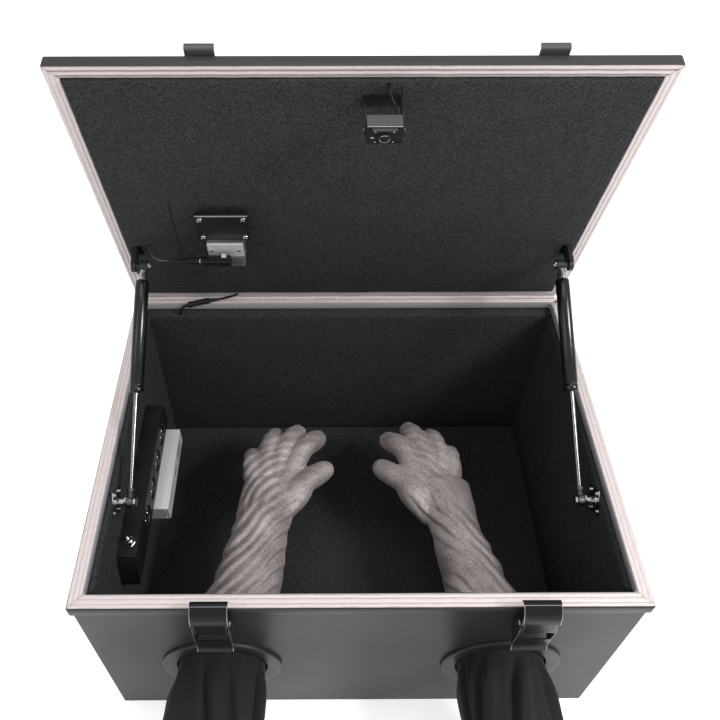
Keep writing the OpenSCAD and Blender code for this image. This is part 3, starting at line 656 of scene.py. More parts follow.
# ---- ports ----
for side, s in SIDES.items():
    ring = Shape().lathe(
        [(27, 61), (27, 63), (0, 63), (0, 80.4), (-0.4, 81), (-3, 81), (-3.9, 80.7), (-4.4, 80.1), (-4.5, 79.4),
         (-4.5, 62.4), (-4.2, 61.5), (-3.5, 61), (27, 61)], (PORTS[s], FRONT_Y, PORT_Z), "y", count=128)
    ring.piece("port_flange_" + side, RING, "tub", "port_ring", "port_ring_" + side)
carry("port_ring", RING, "port_clamps", bevel=0.5)

# ---- latches ----
def band(path, t=1.5):
    """A bent strip's outline: [y, z] points given thickness."""
    normal = np.gradient(path, axis=0)
    normal = np.column_stack([-normal[:, 1], normal[:, 0]]) / np.linalg.norm(normal, axis=1)[:, None]
    return [*(path + normal * t / 2), *(path[::-1] - normal[::-1] * t / 2)]


def from_pivot(pairs):
    """[y, z] points given from the lever's pivot."""
    return [(PIVOT_Y + a, PIVOT_Z + b) for a, b in pairs]


def from_claw(pairs, count=40):
    """A smooth line through [y, z] points given from the claw's pin."""
    return spread([(CLAW_Y + a, CLAW_Z + b) for a, b in pairs], count)


LEVER_W, CLAW_W, SHEET = 44.0, 38.8, 1.5
WEB_FRONT = [(-4.5, 8), (-7, -2), (-7.5, -22), (-5.5, -50), (-6.2, -60), (-8.4, -67)]
for side, s in SIDES.items():
    at = shift(LATCHES[s], 0, 0)
    lever = Shape()
    face = spread(from_pivot([(-7.4, -33), *WEB_FRONT[3:]]), 18)
    lever.prism(band(face), -LEVER_W / 2 + 1.4, LEVER_W / 2 - 1.4, "x", 0.3)
    web = from_pivot([*WEB_FRONT, (-7.6, -67.6), (-3.6, -59), (2, -50), (11, -34), (11, -24), (5, -2), (2, 5)])
    front = spread(from_pivot(WEB_FRONT[1:]), 40)
    for out in (-1, 1):
        lever.prism(web, out * (LEVER_W / 2 - SHEET), out * LEVER_W / 2, "x", 0.35)
        lever.prism(band(front, 1.2), out * (LEVER_W / 2 - 0.6), out * (LEVER_W / 2 + 0.05), mat=1)
        lever.lathe([(out * 19.6, 3.8), (out * 20.4, 3.8)], CLAW_AT, "x", 2, 24)
    lever.lathe([(-21.9, LATCH_PIN), (21.9, LATCH_PIN)], CLAW_AT, "x", 2, 20)
    lever.piece("latch_handle_" + side, [LATCH, LATCH_EDGE, STEEL], "lever_" + side, "latch_steel",
                "latch_lever_" + side, at=at)
    claw = Shape()
    low = from_claw([(-2.5, 2.5), (-8.5, 8.5), (-13.6, 14.6), (-14.9, 20), (-14.9, 30), (-14.9, 41.5)])
    hook = from_claw([(-14.9, 40.5), (-14.3, 46.5), (-13, 52), (-9, 59), (-4.2, 63.2), (-1, 64.5), (3.6, 63.6),
                      (5.4, 59.5)])
    for path, half in ((low, CLAW_W / 2), (hook, LEVER_W / 2)):
        claw.prism(band(path), -half, half, "x", 0.3)
    for out in (-1, 1):
        claw.prism(band(hook[:30], 1.8), out * (LEVER_W / 2 - 0.7), out * (LEVER_W / 2 + 0.05), mat=1)
        claw.prism(band(low[12:], 1.8), out * (CLAW_W / 2 - 0.5), out * (CLAW_W / 2 + 0.03), mat=1)
    # a bright bead along the crest of the hook's curl: painted highlight
    claw.rod(LEVER_W / 2 - 0.5, CLAW_Y - 2.0, CLAW_Z + 64.75, 0.45, 1, 10)
    claw.lathe([(-19.4, 3.4), (-18.8, 4), (18.8, 4), (19.4, 3.4)], CLAW_AT, "x", 0, 24)
    claw.piece("latch_hook_" + side, [LATCH, LATCH_EDGE], "claw_" + side, "latch_steel", "latch_claw_" + side, at=at)

base, pins, keeper = Shape(), Shape(), Shape()
EAR = [(15, -23), (15, -15), (5.8, -7.5), (5.4, -2), (4.3, 2.5), (2.4, 4.4), (0, 5), (-2.4, 4.4), (-4.4, 2.4),
       (-5, 0), (-4.9, -2), (-4.2, -8), (2, -17), (6, -23)]
for x in LATCHES.values():
    base.box((x - 17.5, FRONT_Y - 2, BOX_H - 74), (x + 17.5, FRONT_Y, BOX_H - 23), 0.5)
    for edge in (-17.5, 16):
        base.prism(from_pivot(EAR), x + edge, x + edge + SHEET, "x", 0.3)
    for dx in (-10, 10):
        for dz in (-66, -44):
            cap_screw(base, (x + dx, FRONT_Y - 2, BOX_H + dz), "y", -1, 2.6, 1.4, 1, 0)
        cap_screw(keeper, (x + dx, -240, 377), "z", 1, 2.4, 1.2, 2, 0)
    for t in (-1, 1):
        pins.lathe([(t * 15.7, LATCH_PIN), (t * 22.3, LATCH_PIN), (t * 22.3, 3), (t * 23.0, 2.8), (t * 23.3, 2)],
                   (x, PIVOT_Y, PIVOT_Z), "x", 0, 24)
    lip = spread([(-234, 376.25), (-245, 376.25), (-254.5, 376.3), (-256.6, 377.1), (-257, 380), (-258.2, 381.3)], 26)
    keeper.prism(band(lip), x - 16.5, x + 16.5, "x", 0.3)
    # three bright beads along the keeper's flat top and its curled lip: painted highlights
    for y, z in ((-247.4, 377.2), (-251.2, 377.2), (-258.5, 381.6)):
        keeper.rod(16.2, y, z, 0.55, 1, 10, x)
base.piece("latch_mounts", [LATCH, STEEL], "tub", "latch_steel", "latch_bases")
pins.piece("latch_rivets", LATCH_EDGE, "tub", "bright_steel", "latch_pivot_pins")
keeper.piece("lid_keepers", [KEEPER, LATCH_EDGE, STEEL], "lid", "latch_steel", "latch_keepers")

# ---- hinge ----
carry("hinge_steel", HINGE_STEEL, "hinge_body_leaf", "hinge_lid_leaf")
carry("bright_steel", HINGE_STEEL, "hinge_pin")
for body, z in (("tub", 346.5), ("lid", 368.5)):
    screws = Shape()
    for k in range(9):
        cap_screw(screws, (-312 + 78 * k, 253.2, z), "y", 1, 2.9, 0.9)
    screws.piece("hinge_screws_" + body, [STEEL, BLACK], body, "bright_steel")

# ---- gas struts ----
PLATE_X = 323.2
plates, screws, studs = Shape(), Shape(), Shape()
for side, s in SIDES.items():
    diamond = [(STRUT_Y + a, STRUT_Z + b) for a, b in ((0, 24), (24, 0), (0, -24), (-24, 0))]
    plates.prism(diamond, s * PLATE_X, s * FOAM_X, "x", 0.5, segments=3)
    plates.lathe([(s * 323.3, 8.5), (s * 322.6, 8.2), (s * 322.4, 7.2)], STRUT_AT, "x", 0, 32)
    for a, b in ((0, 17), (17, 0), (0, -17), (-17, 0)):
        cap_screw(screws, (s * PLATE_X, STRUT_Y + a, STRUT_Z + b), "x", -s, 3, 2.8)
    studs.lathe([(s * 313, 5), (s * 344, 5)], STRUT_AT, "x", 0, 24)
    studs.lathe([(s * 310, 6.6), (s * 310.4, 7), (s * 312.6, 7), (s * 313, 6.6)], STRUT_AT, "x", 0, 6)
    studs.lathe([(s * 299, 4), (s * 310, 4)], STRUT_AT, "x", 0, 24)
    cap_screw(studs, (s * 300, STRUT_Y, STRUT_Z), "x", -s, 6, 3)
    at = shift(s * STRUT_X, STRUT_Y, STRUT_Z) @ Matrix.Rotation(math.radians(STRUT_ANGLE), 4, "X")

    eye = Shape().lathe([(-4, 4.3), (-4, 7.2), (-3.2, 8), (3.2, 8), (4, 7.2), (4, 4.3)])
    eye.lathe([(6.5, 4.2), (8, 4.8), (13, 4.8), (13.6, 5.2), (17.2, 5.2), (17.8, 4.6), (18, 3.6)], axis="y", count=24)
    eye.piece("strut_lower_eye_" + side, DARK_STEEL, "rod_" + side, "strut_fitting", "strut_eye_" + side, at=at)
    carry("chrome", ROD, "strut_rod_" + side)

    tube = Shape().lathe([(147.7, 3.6), (147.7, 8.4), (148.2, 9.4), (149.2, 10), (156, 10), (156.8, 9.4), (158, 9.2),
                          (159.2, 9.4), (160, 10), (301, 10), (302, 9.8), (307.4, 9.7), (309, 9.1), (309.5, 7.8),
                          (309.5, 5)], axis="y", count=44)
    tube.lathe([(147.0, 3.3), (147.0, 5.2), (147.6, 5.6), (148.0, 5.6)], axis="y", mat=1, count=32)
    tube.piece("strut_cylinder_" + side, [TUBE_BLACK, DARK_STEEL], "tube_" + side, "strut_black",
               "strut_tube_" + side, at=at)
    end = Shape()
    end.lathe([(309.5, 6.6), (310.5, 7.2), (316, 6.4), (321, 5.2), (324.5, 5.0)], axis="y", mat=1, count=28)
    inner, outer = -8 * s, 4 * s
    end.lathe([(inner, 6.8), (inner * 0.88, 8), (outer * 0.8, 8), (outer, 7)], (0, STRUT_LEN, 0), "x", 0, 36)
    end.lathe([(inner, 4.2), (inner - 1.0 * s, 4.0), (inner - 3.4 * s, 2.3), (inner - 3.6 * s, 1.2)],
              (0, STRUT_LEN, 0), "x", 1, 20)
    x0, x1 = sorted((inner - s, inner - 2.8 * s))
    end.box((x0, STRUT_LEN - 1.1, 2), (x1, STRUT_LEN + 1.1, 8.5), 0.4, 1)
    end.piece("strut_upper_end_" + side, [FITTING, STEEL], "tube_" + side, "strut_fitting", "strut_end_" + side,
              at=at)
plates.piece("strut_diamonds", CHROME, "tub", "bright_steel", "strut_wall_plates")
screws.piece("strut_cap_screws", [CHROME, BLACK], "tub", "chrome", "strut_plate_screws")
studs.piece("strut_studs", [CHROME, BLACK], "tub", "chrome", "strut_wall_studs")
carry("strut_fitting", FITTING, "strut_lid_brackets", bevel=0.5)

# ---- power strip, converter and switch ----
Y0, Y1, Z0, Z1 = -147.0, 105.0, 214.0, 268.0
FACE_X = -299
SOCKET_PITCH, SOCKET_Z = 47, (Z0 + Z1) / 2
SOCKETS_Y = [Y0 + 74 + k * SOCKET_PITCH for k in range(4)]
strip, wells, inserts = Shape(), Shape(), Shape()
edges = [Y0, *(Y0 + 51 + k * SOCKET_PITCH for k in range(4)), Y1]
for a, b in zip(edges[:-1], edges[1:]):
    strip.box((-FOAM_X, a + 0.25, Z0), (FACE_X, b - 0.25, Z1), 1.2, segments=3)
for y in SOCKETS_Y:
    centre = (0, y, SOCKET_Z)
    strip.lathe([(-299.2, 21), (-298.7, 20.6), (-298.7, 18.4), (-299.4, 17.4), (-301.6, 17)], centre, count=44)
    wells.lathe([(-303.6, 16.9), (-290, 17.2)], centre, count=44)
    inserts.lathe([(-304, 16.8), (-301.2, 16.8), (-300.8, 16.2), (-300.8, 6), (-301.2, 5), (-301.2, 0.2)], centre,
                  count=40)
    for dy in (-6.2, 6.2):
        inserts.lathe([(-301.4, 2.5), (-300.6, 2.5), (-300.5, 2.0), (-301.0, 1.7)], (0, y + dy, SOCKET_Z), "x", 1, 18)
        inserts.box((-301.4, y + dy - 1.6, SOCKET_Z + 12.2), (-299.9, y + dy + 1.6, SOCKET_Z + 15.2), 0.4, 1)
settle(carved(strip.object("socket_strip", BLACK), wells), "tub", ["power_strip"])
inserts.piece("socket_faces", [SOCKET, CHROME], "tub", "socket_plastic", "power_sockets")
ends = Shape()
for outline in ([(Y0 - 16, Z0 + 4), (Y0, Z0 + 4), (Y0, Z1 - 3), (Y0 - 4, Z1 - 6)],
                [(Y1, Z0 + 4), (Y1 + 8, Z0 + 4), (Y1 + 4, Z1 - 6), (Y1, Z1 - 3)]):
    ends.prism(outline, -FOAM_X, FACE_X, "x", 0.9, segments=3)
# a thin bright line along the end cap's sloped front edge: painted highlight
ends.prism([(Y0 - 15.2, Z0 + 7), (Y0 - 14.6, Z0 + 7), (Y0 - 4.2, Z1 - 8), (Y0 - 4.9, Z1 - 8)], -300.6, -299.1, "x",
           0.2, 1)
ends.piece("strip_end_caps", [BLACK, STEEL], "tub", "black_plastic", "power_strip_ends")

supply = Shape()
supply.box((-FOAM_X, -44.5, 183), (-277, 94.5, 213.5), 1.6, segments=3)
for y, out in ((-46, -1), (96, 1)):
    y0, y1 = sorted((y, y - out * 1.8))
    supply.box((-FOAM_X, y0, 183.6), (-277.6, y1, 212.9), 0.5)
    for x in (-318, -283):
        for z in (188, 208.5):
            cap_screw(supply, (x, y, z), "y", out, 1.6, 0.9, 0, 1)
supply.box((-277.4, 20, 197), (-276.8, 34, 200), 0.2, 1)
for k in range(6):
    supply.box((-277.3, 52 + 5 * k, 190), (-276.85, 54 + 5 * k, 207), 0.15, 1)
supply.piece("supply_box", [ALUMINIUM, BLACK], "tub", "satin_aluminium", "converter_box")

TX, TY = -311.0, -125.0
bush = Shape()
bush.lathe([(268, 7.2), (268.4, 7.4), (270.4, 7.4), (270.9, 6.8)], (TX, TY, 0), "z", 0, 6)
bush.lathe([(268, 8.2), (268.3, 8.4), (268.6, 8.2)], (TX, TY, 0), "z", 0, 32)
thread = [(270.6, 4.6), *((271 + 0.4 * k, 4.6 if k % 2 else 4.2) for k in range(12)), (275.9, 4.0), (276, 3.4),
          (273.5, 3.2)]
bush.lathe(thread, (TX, TY, 0), "z", 0, 28)
bush.piece("switch_bushing", CHROME, "tub", "chrome", "toggle_bushing")
bat = Shape().lathe([(-2.4, 0.6), (-1.6, 2.0), (0, 2.6), (1.8, 2.0), (3, 1.4), (8, 1.5), (12, 2.1), (14.6, 2.6),
                     (15.8, 2.3), (16.5, 1.2)], axis="z", count=24)
TOGGLE_TILT = 12
tilt = shift(TX, TY, 273) @ Matrix.Rotation(math.radians(TOGGLE_TILT), 4, "X")
bat.piece("switch_bat", CHROME, "toggle", "chrome", "toggle_lever", at=tilt)

# ---- lid electronics ----
bend = spread([(52.5, 338.75), (30, 338.75), (4, 338.75), (1, 338.85), (-0.1, 339.4), (-0.6, 340.6),
               (-0.65, 345.4)], 50)
PLATE_MID, PLATE_HALF = -180.5, 35.5
plate = Shape().prism(band(bend), PLATE_MID - PLATE_HALF, PLATE_MID + PLATE_HALF, "x", 0.25)
plate.box((-215.7, -1.55, 340.4), (-145.3, -1.3, 345.2), 0.0, 2)
# bright beads on the plate's bend and along its lower edge: painted highlights
plate.rod(PLATE_HALF - 0.4, -0.85, 338.9, 0.75, 1, 10, PLATE_MID)
plate.rod(PLATE_HALF - 0.4, 52.4, 338.6, 0.5, 1, 10, PLATE_MID)
plate.piece("cover_plate", [PLATE, STEEL, DARK_STEEL], "lid", "plate_metal", "filter_plate")
bolts = Shape()
for x in (-210, -151):
    for y in (7.2, 48.5):
        cap_screw(bolts, (x, y, 338), "z", -1, 3, 3)
        bolts.lathe([(337.9, 3.9), (337.5, 3.7)], (x, y, 0), "z", 0, 24)
        bolts.lathe([(339.5, 2.5), (354.6, 2.5)], (x, y, 0), "z", 0, 20)
bolts.piece("cover_bolts", [CHROME, BLACK], "lid", "chrome", "filter_screws")
junction = Shape()
# the junction box's body, behind its silver lid, in dark grey: painted shade
junction.box((-206, 56, 334.2), (-155, 85, 354.6), 0.9, 3, segments=3)
junction.box((-205.8, 56.1, 330), (-155.2, 84.9, 333.9), 0.7, segments=3)
junction.rod(24.9, 84.6, 330.3, 0.4, 1, 8, PLATE_MID)
for x in (-200.5, -161.5):
    cap_screw(junction, (x, 69, 330), "z", -1, 2.5, 1.3, 1, 2)
for x in (-198, -163):
    cap_screw(junction, (x, 56, 345), "y", -1, 1.8, 0.9, 3, 2)
junction.piece("junction_box", [CAST, CHROME, BLACK, GREY_SHADE], "lid", "cast_silver", "connector_box")
terminal = Shape().box((-179, 85.2, 329), (-156, 109, 354.6), 0.8, segments=3)
# two darker insets on the terminal block: painted shade of recesses
terminal.box((-177.5, 108.2, 332), (-157.5, 109.4, 351), 0.3, 1)
terminal.box((-176.5, 88, 328.6), (-158.5, 106, 329.2), 0.25, 1)
terminal.piece("terminal_block", [GREY, GREY_SHADE], "lid", "grey_block", "connector_block")

PLUG_Y, PLUG_Z = 79.0, 319.0
PLUG_AT = (0, PLUG_Y, PLUG_Z)
plug = Shape()
BODY = [(-6, -4.6), (-4.2, -6.3), (4.2, -6.3), (6, -4.6), (6, 4.6), (4.2, 6.3), (-4.2, 6.3), (-6, 4.6)]


def shell_of(stations):
    """An eight-sided plug body through [x, width share, height share] stations."""
    corners = [(x, PLUG_Y + a * wide, PLUG_Z + b * tall) for x, wide, tall in stations for a, b in BODY]
    plug.faces(corners, grid(len(stations), len(BODY)))


grip = [(-173, 0.8, 0.8), (-173.6, 0.97, 0.97), (-176, 1.04, 1.04), (-186, 1.04, 1.04), (-190, 0.98, 1.0)]
for k in range(4):
    grip += [(-192.4 - 5 * k, 0.98, 1.0), (-192.8 - 5 * k, 0.83, 0.86), (-194.6 - 5 * k, 0.83, 0.86),
             (-195.0 - 5 * k, 0.98, 1.0)]
grip += [(-213, 0.96, 0.97), (-216, 0.8, 0.8)]
shell_of(grip)
plug.rod(7.5, PLUG_Y + 6.1, PLUG_Z - 4.9, 0.45, 1, 8, -182.5)
plug.lathe([(-215.6, 4.4), (-216.4, 5.0), (-217.6, 5.0), (-218.2, 4.4)], PLUG_AT, "x", 1, 28)
shell_of([(-217.8, 0.5, 0.5), (-218.4, 0.76, 0.74), (-222, 0.8, 0.78), (-236, 0.8, 0.78), (-237, 0.64, 0.62),
          (-246, 0.6, 0.58), (-247.4, 0.48, 0.46)])
relief = [(-247.0, 2.8)]
for k in range(4):
    relief += [(-248.5 - 3 * k, 2.7 - 0.2 * k), (-249.3 - 3 * k, 1.9 - 0.1 * k), (-250.4 - 3 * k, 1.9 - 0.1 * k),
               (-251.0 - 3 * k, 2.6 - 0.2 * k)]
relief += [(-262, 1.7)]
plug.lathe(relief, PLUG_AT, "x", 0, 24)
plug.lathe([(-179, 4.2), (-179, 5.2), (-186, 5.2), (-186, 4.2)], (0, PLUG_Y - 7.6, PLUG_Z + 3), "x", 1, 6)
for k in range(6):
    plug.box((-222 - 2.4 * k, PLUG_Y - 1, PLUG_Z - 5.2), (-223.2 - 2.4 * k, PLUG_Y + 1, PLUG_Z - 4.6), 0.2, 2)
plug.piece("lead_plug", [BLACK, CHROME, SOCKET], "lid", "black_plastic", "moulded_plug")


def lead(name, route, diameter, finish, at, bodies, nodes=(), count=60, others=()):
    """A taut lead through a route's points, on its one body; a lead between two bodies is baked where it lies and
    follows neither. The functions in others make the pieces that go with it."""
    points = spread(route, count)
    obj = Shape().tube(points, diameter / 2).object(name, finish, at, sharp=0)
    if len(bodies) == 1:
        settle(obj, bodies[0], nodes)
    else:
        if nodes:
            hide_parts(*nodes)
        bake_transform(obj)
    [make() for make in others]


PLUG_ROUTE = [(-259, PLUG_Y, PLUG_Z), (-268, PLUG_Y, PLUG_Z + 0.5), (-276, PLUG_Y + 2, PLUG_Z + 3),
              (-284, PLUG_Y + 5, PLUG_Z + 9), (-290, PLUG_Y + 9, PLUG_Z + 17), (-294, PLUG_Y + 13, PLUG_Z + 26),
              (-296, PLUG_Y + 15, LID_FOAM_Z + 2)]
lead("plug_lead", PLUG_ROUTE, 2.6, PALE_CABLE, LID, ["lid"], ["plug_cable"])

# ---- camera on its bracket ----
# half width, half length and half thickness of the camera's case
CW, CL, CT = 19.5, 14.0, 8.2
arms = Shape()
half = CW + 0.5
arms.box((-half - 2, -8, 41.7), (half + 2, 8, 43.2), 0.4)
for x in (-half - 2, half):
    arms.prism([(-5, 42.2), (5, 42.2), (5, 0), (4.3, -2.5), (2.5, -4.3), (0, -5), (-2.5, -4.3), (-4.3, -2.5),
                (-5, 0)], x, x + 2, "x", 0.35)
for s in SIDES.values():
    arms.lathe([(s * (half + out), r) for out, r in ((-4, 2), (2, 2), (2, 2.6), (3.4, 2.4), (3.8, 1.7))], mat=1,
               count=24)
arms.piece("camera_yoke", [BLACK, DARK_STEEL], "lid", "black_plastic", "camera_bracket", at=CAMERA)
case = Shape()
case.box((-CW, -CL + 1.5, -CT), (CW, CL, CT), 1.0, segments=3)
case.box((-CW, -CL, -CT - 0.4), (CW, -CL + 1.4, CT), 0.45, 1)
case.rod(CW - 0.4, -CL + 0.3, -CT - 0.2, 0.42, 2)
case.rod(CW - 0.4, -CL + 0.3, CT - 0.2, 0.3, 2)
case.box((-13.5, -CL + 2.4, -CT - 3.6), (13.5, -CL + 4.4, -CT + 0.4), 0.5, 1)
case.box((-CW + 2, -CL + 4.6, -CT - 0.5), (CW - 2, CL - 1, -CT + 0.3), 0.3)
case.piece("camera_case", [BLACK, CAM_TOP, STEEL], "camera", "black_plastic", "camera_body")
eyepiece, LENS_AT = Shape(), (0, 3.5, 0)
eyepiece.lathe([(-8.2, 7), (-9.0, 7), (-9.3, 6.7), (-10.1, 6.7), (-10.4, 6.95), (-10.9, 6.95), (-11.2, 6.6),
                (-11.2, 5.9)], LENS_AT, "z", 2, 44)
eyepiece.lathe([(-10.6, 6.2), (-11.35, 6.0), (-11.4, 5.6), (-10.9, 5.0), (-9.6, 4.7), (-9.6, 0.2)], LENS_AT, "z",
               count=44)
eyepiece.lathe([(-9.5, 4.6), (-10.0, 3.8), (-10.4, 2.4), (-10.5, 0.3)], LENS_AT, "z", 1, 32)
eyepiece.piece("camera_objective", [CHROME, GLASS, BLACK], "camera", "lens", "camera_lens")
tiny = Shape()
for x in (-10, 10):
    for y in (-5, 11):
        cap_screw(tiny, (x, y, -CT - 0.3), "z", -1, 0.9, 0.7)
cap_screw(tiny, (-13.2, 4, -CT - 0.3), "z", -1, 1.7, 1.1)
tiny.piece("camera_case_screws", [CHROME, BLACK], "camera", "chrome", "camera_screws")

CAMERA_ROUTE = [(14, -4, 8.6), (15, -5, 16.2), (13, -9, 24.2), (9, -15, 31.2), (6, -21, 36.2), (5.5, -23, 42.7)]
lead("camera_lead", CAMERA_ROUTE, 3.2, CABLE, CAMERA, ["camera", "lid"], ["camera_cable"])
AERIAL_ROUTE = [(18.6, -12.0, 7.6), (19.6, -14.6, 15), (19.4, -17, 25), (20.2, -19.5, 34), (20.5, -20.5, 42.6)]
lead("camera_aerial_lead", AERIAL_ROUTE, 1.6, CABLE, CAMERA, ["camera", "lid"])

# ---- lead with an in-line connector over the rear rim ----
RIM_ROUTE = [(-276, 231, 342), (-274.5, 231.4, 350), (-271.5, 232.1, 357.5), (-266, 233.8, 361.4),
             (-258, 236.3, 362.4), (-250, 238.8, 362.6), (-238, 242.4, 362.6), (-228, 245, 362.6), (-216, 247, 363),
             (-206, 248, 364.5), (-196, 248, 367.5), (-187, 247.5, 371.5), (-181, 246.6, 376)]
COUPLER_END = (-214, 247.2, 363.2)


def coupler():
    """The in-line connector: a ridged grip as far as its neck, then a tapering, ribbed sleeve."""
    neck, end = -228, COUPLER_END[0]
    line = spread([(-262, 235, 362.6), (-250, 238.8, 362.6), (-238, 242.4, 362.6), (neck, 245, 362.6), COUPLER_END],
                  70)
    radii = []
    for k, x in enumerate(line[:, 0]):
        if x < neck:
            radii.append(5.0 if (k // 3) % 2 or x < -256 or x > -236 else 4.3)
        else:
            radii.append(3.5 - (x - neck) / (end - neck) + (0.3 if (k // 2) % 2 else -0.3))
    radii[0], radii[1], radii[-1] = 3.0, 4.4, 2.1
    return Shape().tube(line, radii, 0, 20).piece("rim_lead_coupler", BLACK, "tub", "black_plastic")


lead("rim_lead", RIM_ROUTE, 3.6, CABLE, Matrix(), ["tub", "lid"], ["hinge_cable"], count=90,
     others=[coupler])


def fold(phase, steep=0.3):
    """A drape's section: a short steep side, then a long soft one down to the next narrow valley."""
    t = phase % 1.0
    if t < steep:
        t /= steep
        return t * t * (3 - 2 * t)
    return 1 - ((t - steep) / (1 - steep)) ** 1.5


def ease(value):
    """0 to 1, with soft ends."""
    value = min(1.0, max(0.0, value))
    return value * value * (3 - 2 * value)


def thicken(obj):
    """Gives cloth its 0.9 mm, inwards."""
    thick = obj.modifiers.new("thickness", "SOLIDIFY")
    thick.thickness, thick.offset = 0.9 * MM, -1.0


# ---- sleeves ----
# [sideways, out, up, radius, lean] from inside the port to the hem
SLEEVE = [(0, 20, 0, 60, 0), (0, 6, 0, 60, 0), (0, -8, 0, 60, 0), (2, -34, -2, 61, 6), (7, -72, -12, 62, 20),
          (13, -110, -31, 62, 33), (18, -143, -58, 60, 45), (21, -164, -84, 53, 51)]
# [angle at the ring, turn on the way down, half width, height, lee depth]
FOLDS = {
    "left": [(100, -36, 10, 9.0, 1.1), (70, -26, 7, 6.0, 0.9), (20, 0, 7, 9.0, 1.6), (150, 8, 12, 5.0, 0.5),
             (190, -10, 14, 6.0, 0.7), (232, 12, 15, 6.5, 0.8), (280, -8, 15, 7.0, 0.8), (335, 6, 13, 6.0, 0.8)],
    "right": [(162, 0, 6, 7.0, 1.1), (144, 4, 7, 7.0, 1.1), (112, 26, 9, 8.5, 1.0), (62, 44, 9, 8.5, 1.2),
              (34, -4, 9, 6.0, 0.8), (200, 8, 13, 6.0, 0.7), (244, -8, 14, 6.5, 0.8), (292, 10, 15, 7.0, 0.8),
              (340, -6, 12, 6.0, 0.8)],
}


def sleeve(side, s):
    """A cloth tube clamped in the port: smooth at the ring, then long soft folds and a gathered hem."""
    rings, round_count = 120, 216
    inside, bore, most = 0.16, 60.2, 6.5
    stations = spread(SLEEVE, rings)
    corners = []
    for i, (sx, out, up, r, tilt) in enumerate(stations):
        t = i / (rings - 1)
        open_ = ease((t - 0.1) / 0.22)
        hem = max(0.0, (t - 0.9) / 0.1)
        lean = math.radians(tilt)
        for k in range(round_count):
            deg = 360 * k / round_count
            push = 0.0
            for at, drift, width, height, depth in FOLDS[side]:
                where = at + drift * t * 1.4 + 4.0 * noise.noise(Vector((at * 0.1, t * 3.0, s)))
                gap = (deg - where + 180) % 360 - 180
                rise = math.exp(-((gap / width) ** 2))
                lee = math.exp(-(((gap - 1.35 * width) / (0.5 * width)) ** 2))
                push += height * open_ * (rise - depth * lee)
            w = math.radians(deg)
            v = Vector((math.cos(w) * 1.4, math.sin(w) * 1.4, t * 3.0 + s * 5.0))
            push += open_ * (3.0 * noise.noise(v * 1.3) + 0.8 * noise.noise(v * 4.0))
            push += hem * 1.3 * math.cos(w * 30 + 2 * noise.noise(v * 3.0)) + (1.6 if 0.955 < t < 0.985 else 0.0)
            rr = r - 1.5 + 2.5 * open_ + min(push, most) * (1 - 0.5 * hem)
            if t < inside:
                rr = min(rr, bore)
            sag = -3.5 * open_ * max(0.0, -math.sin(w))
            c, n = rr * math.cos(w), rr * math.sin(w)
            corners.append((PORTS[s] + s * sx + c, FRONT_Y + out - n * math.sin(lean),
                            PORT_Z + up + n * math.cos(lean) + sag))
    shape = Shape()
    shape.faces(corners, grid(rings, round_count, ends=False))
    obj = shape.object("cloth_sleeve_" + side, CLOTH, sharp=0)
    thicken(obj)
    applied(obj)
    settle(obj, "tub", ["sleeve_" + side])


for side, s in SIDES.items():
    sleeve(side, s)


# ---- gloves ----
HAND_Z = 158.0
CUFF_Y = -219.5
ARM_PITCH, HAND_PITCH, FINGER_PITCH = 17.0, 13.5, 13.0
FOLD_DEPTH, PUFF_DEPTH, FINGER_DEPTH = 4.6, 1.2, 1.2
# [middle x, y, z, half width, half height] from the port to the wrist; the left one is mirrored at the end
ARMS = {
    "left": [(182, -222, 162, 62, 62), (175, -188, 160, 57.5, 57.5), (159, -149, 157, 51.5, 50.5),
             (149, -100, 158, 47.5, 43.5), (140, -52, 158, 43.5, 37), (132, -14, 158, 46, 31),
             (126, 26, 158, 47, 26)],
    "right": [(197, -222, 162, 62, 62), (192, -188, 160, 55.5, 56.5), (184, -151, 157, 48.5, 49.5),
              (172, -100, 158, 43, 41.5), (162, -54, 158, 37.5, 34), (155, -14, 158, 42.5, 29),
              (148, 26, 158, 45, 25)],
}
# [knuckle x, y, tip x, y, radius] from the little finger to the index finger, then the thumb
FINGERS = {
    "left": [(157, 50, 161, 79, 16), (137, 72, 124, 119, 17.2), (113, 78, 86, 125, 17.6), (90, 68, 52, 113, 18),
             (88, 16, 40, 52, 18.5)],
    "right": [(168, 54, 169, 83, 16), (150, 76, 141, 116, 17.2), (126, 80, 105, 130, 17.6), (104, 68, 69, 109, 18),
              (104, 14, 54, 55, 18.5)],
}


def ball(shape, x, y, z, r):
    """One of the spheres that the glove's skin is drawn over."""
    made = bmesh.ops.create_icosphere(shape.bm, subdivisions=2, radius=r)["verts"]
    bmesh.ops.translate(shape.bm, verts=made, vec=(x, y, z))


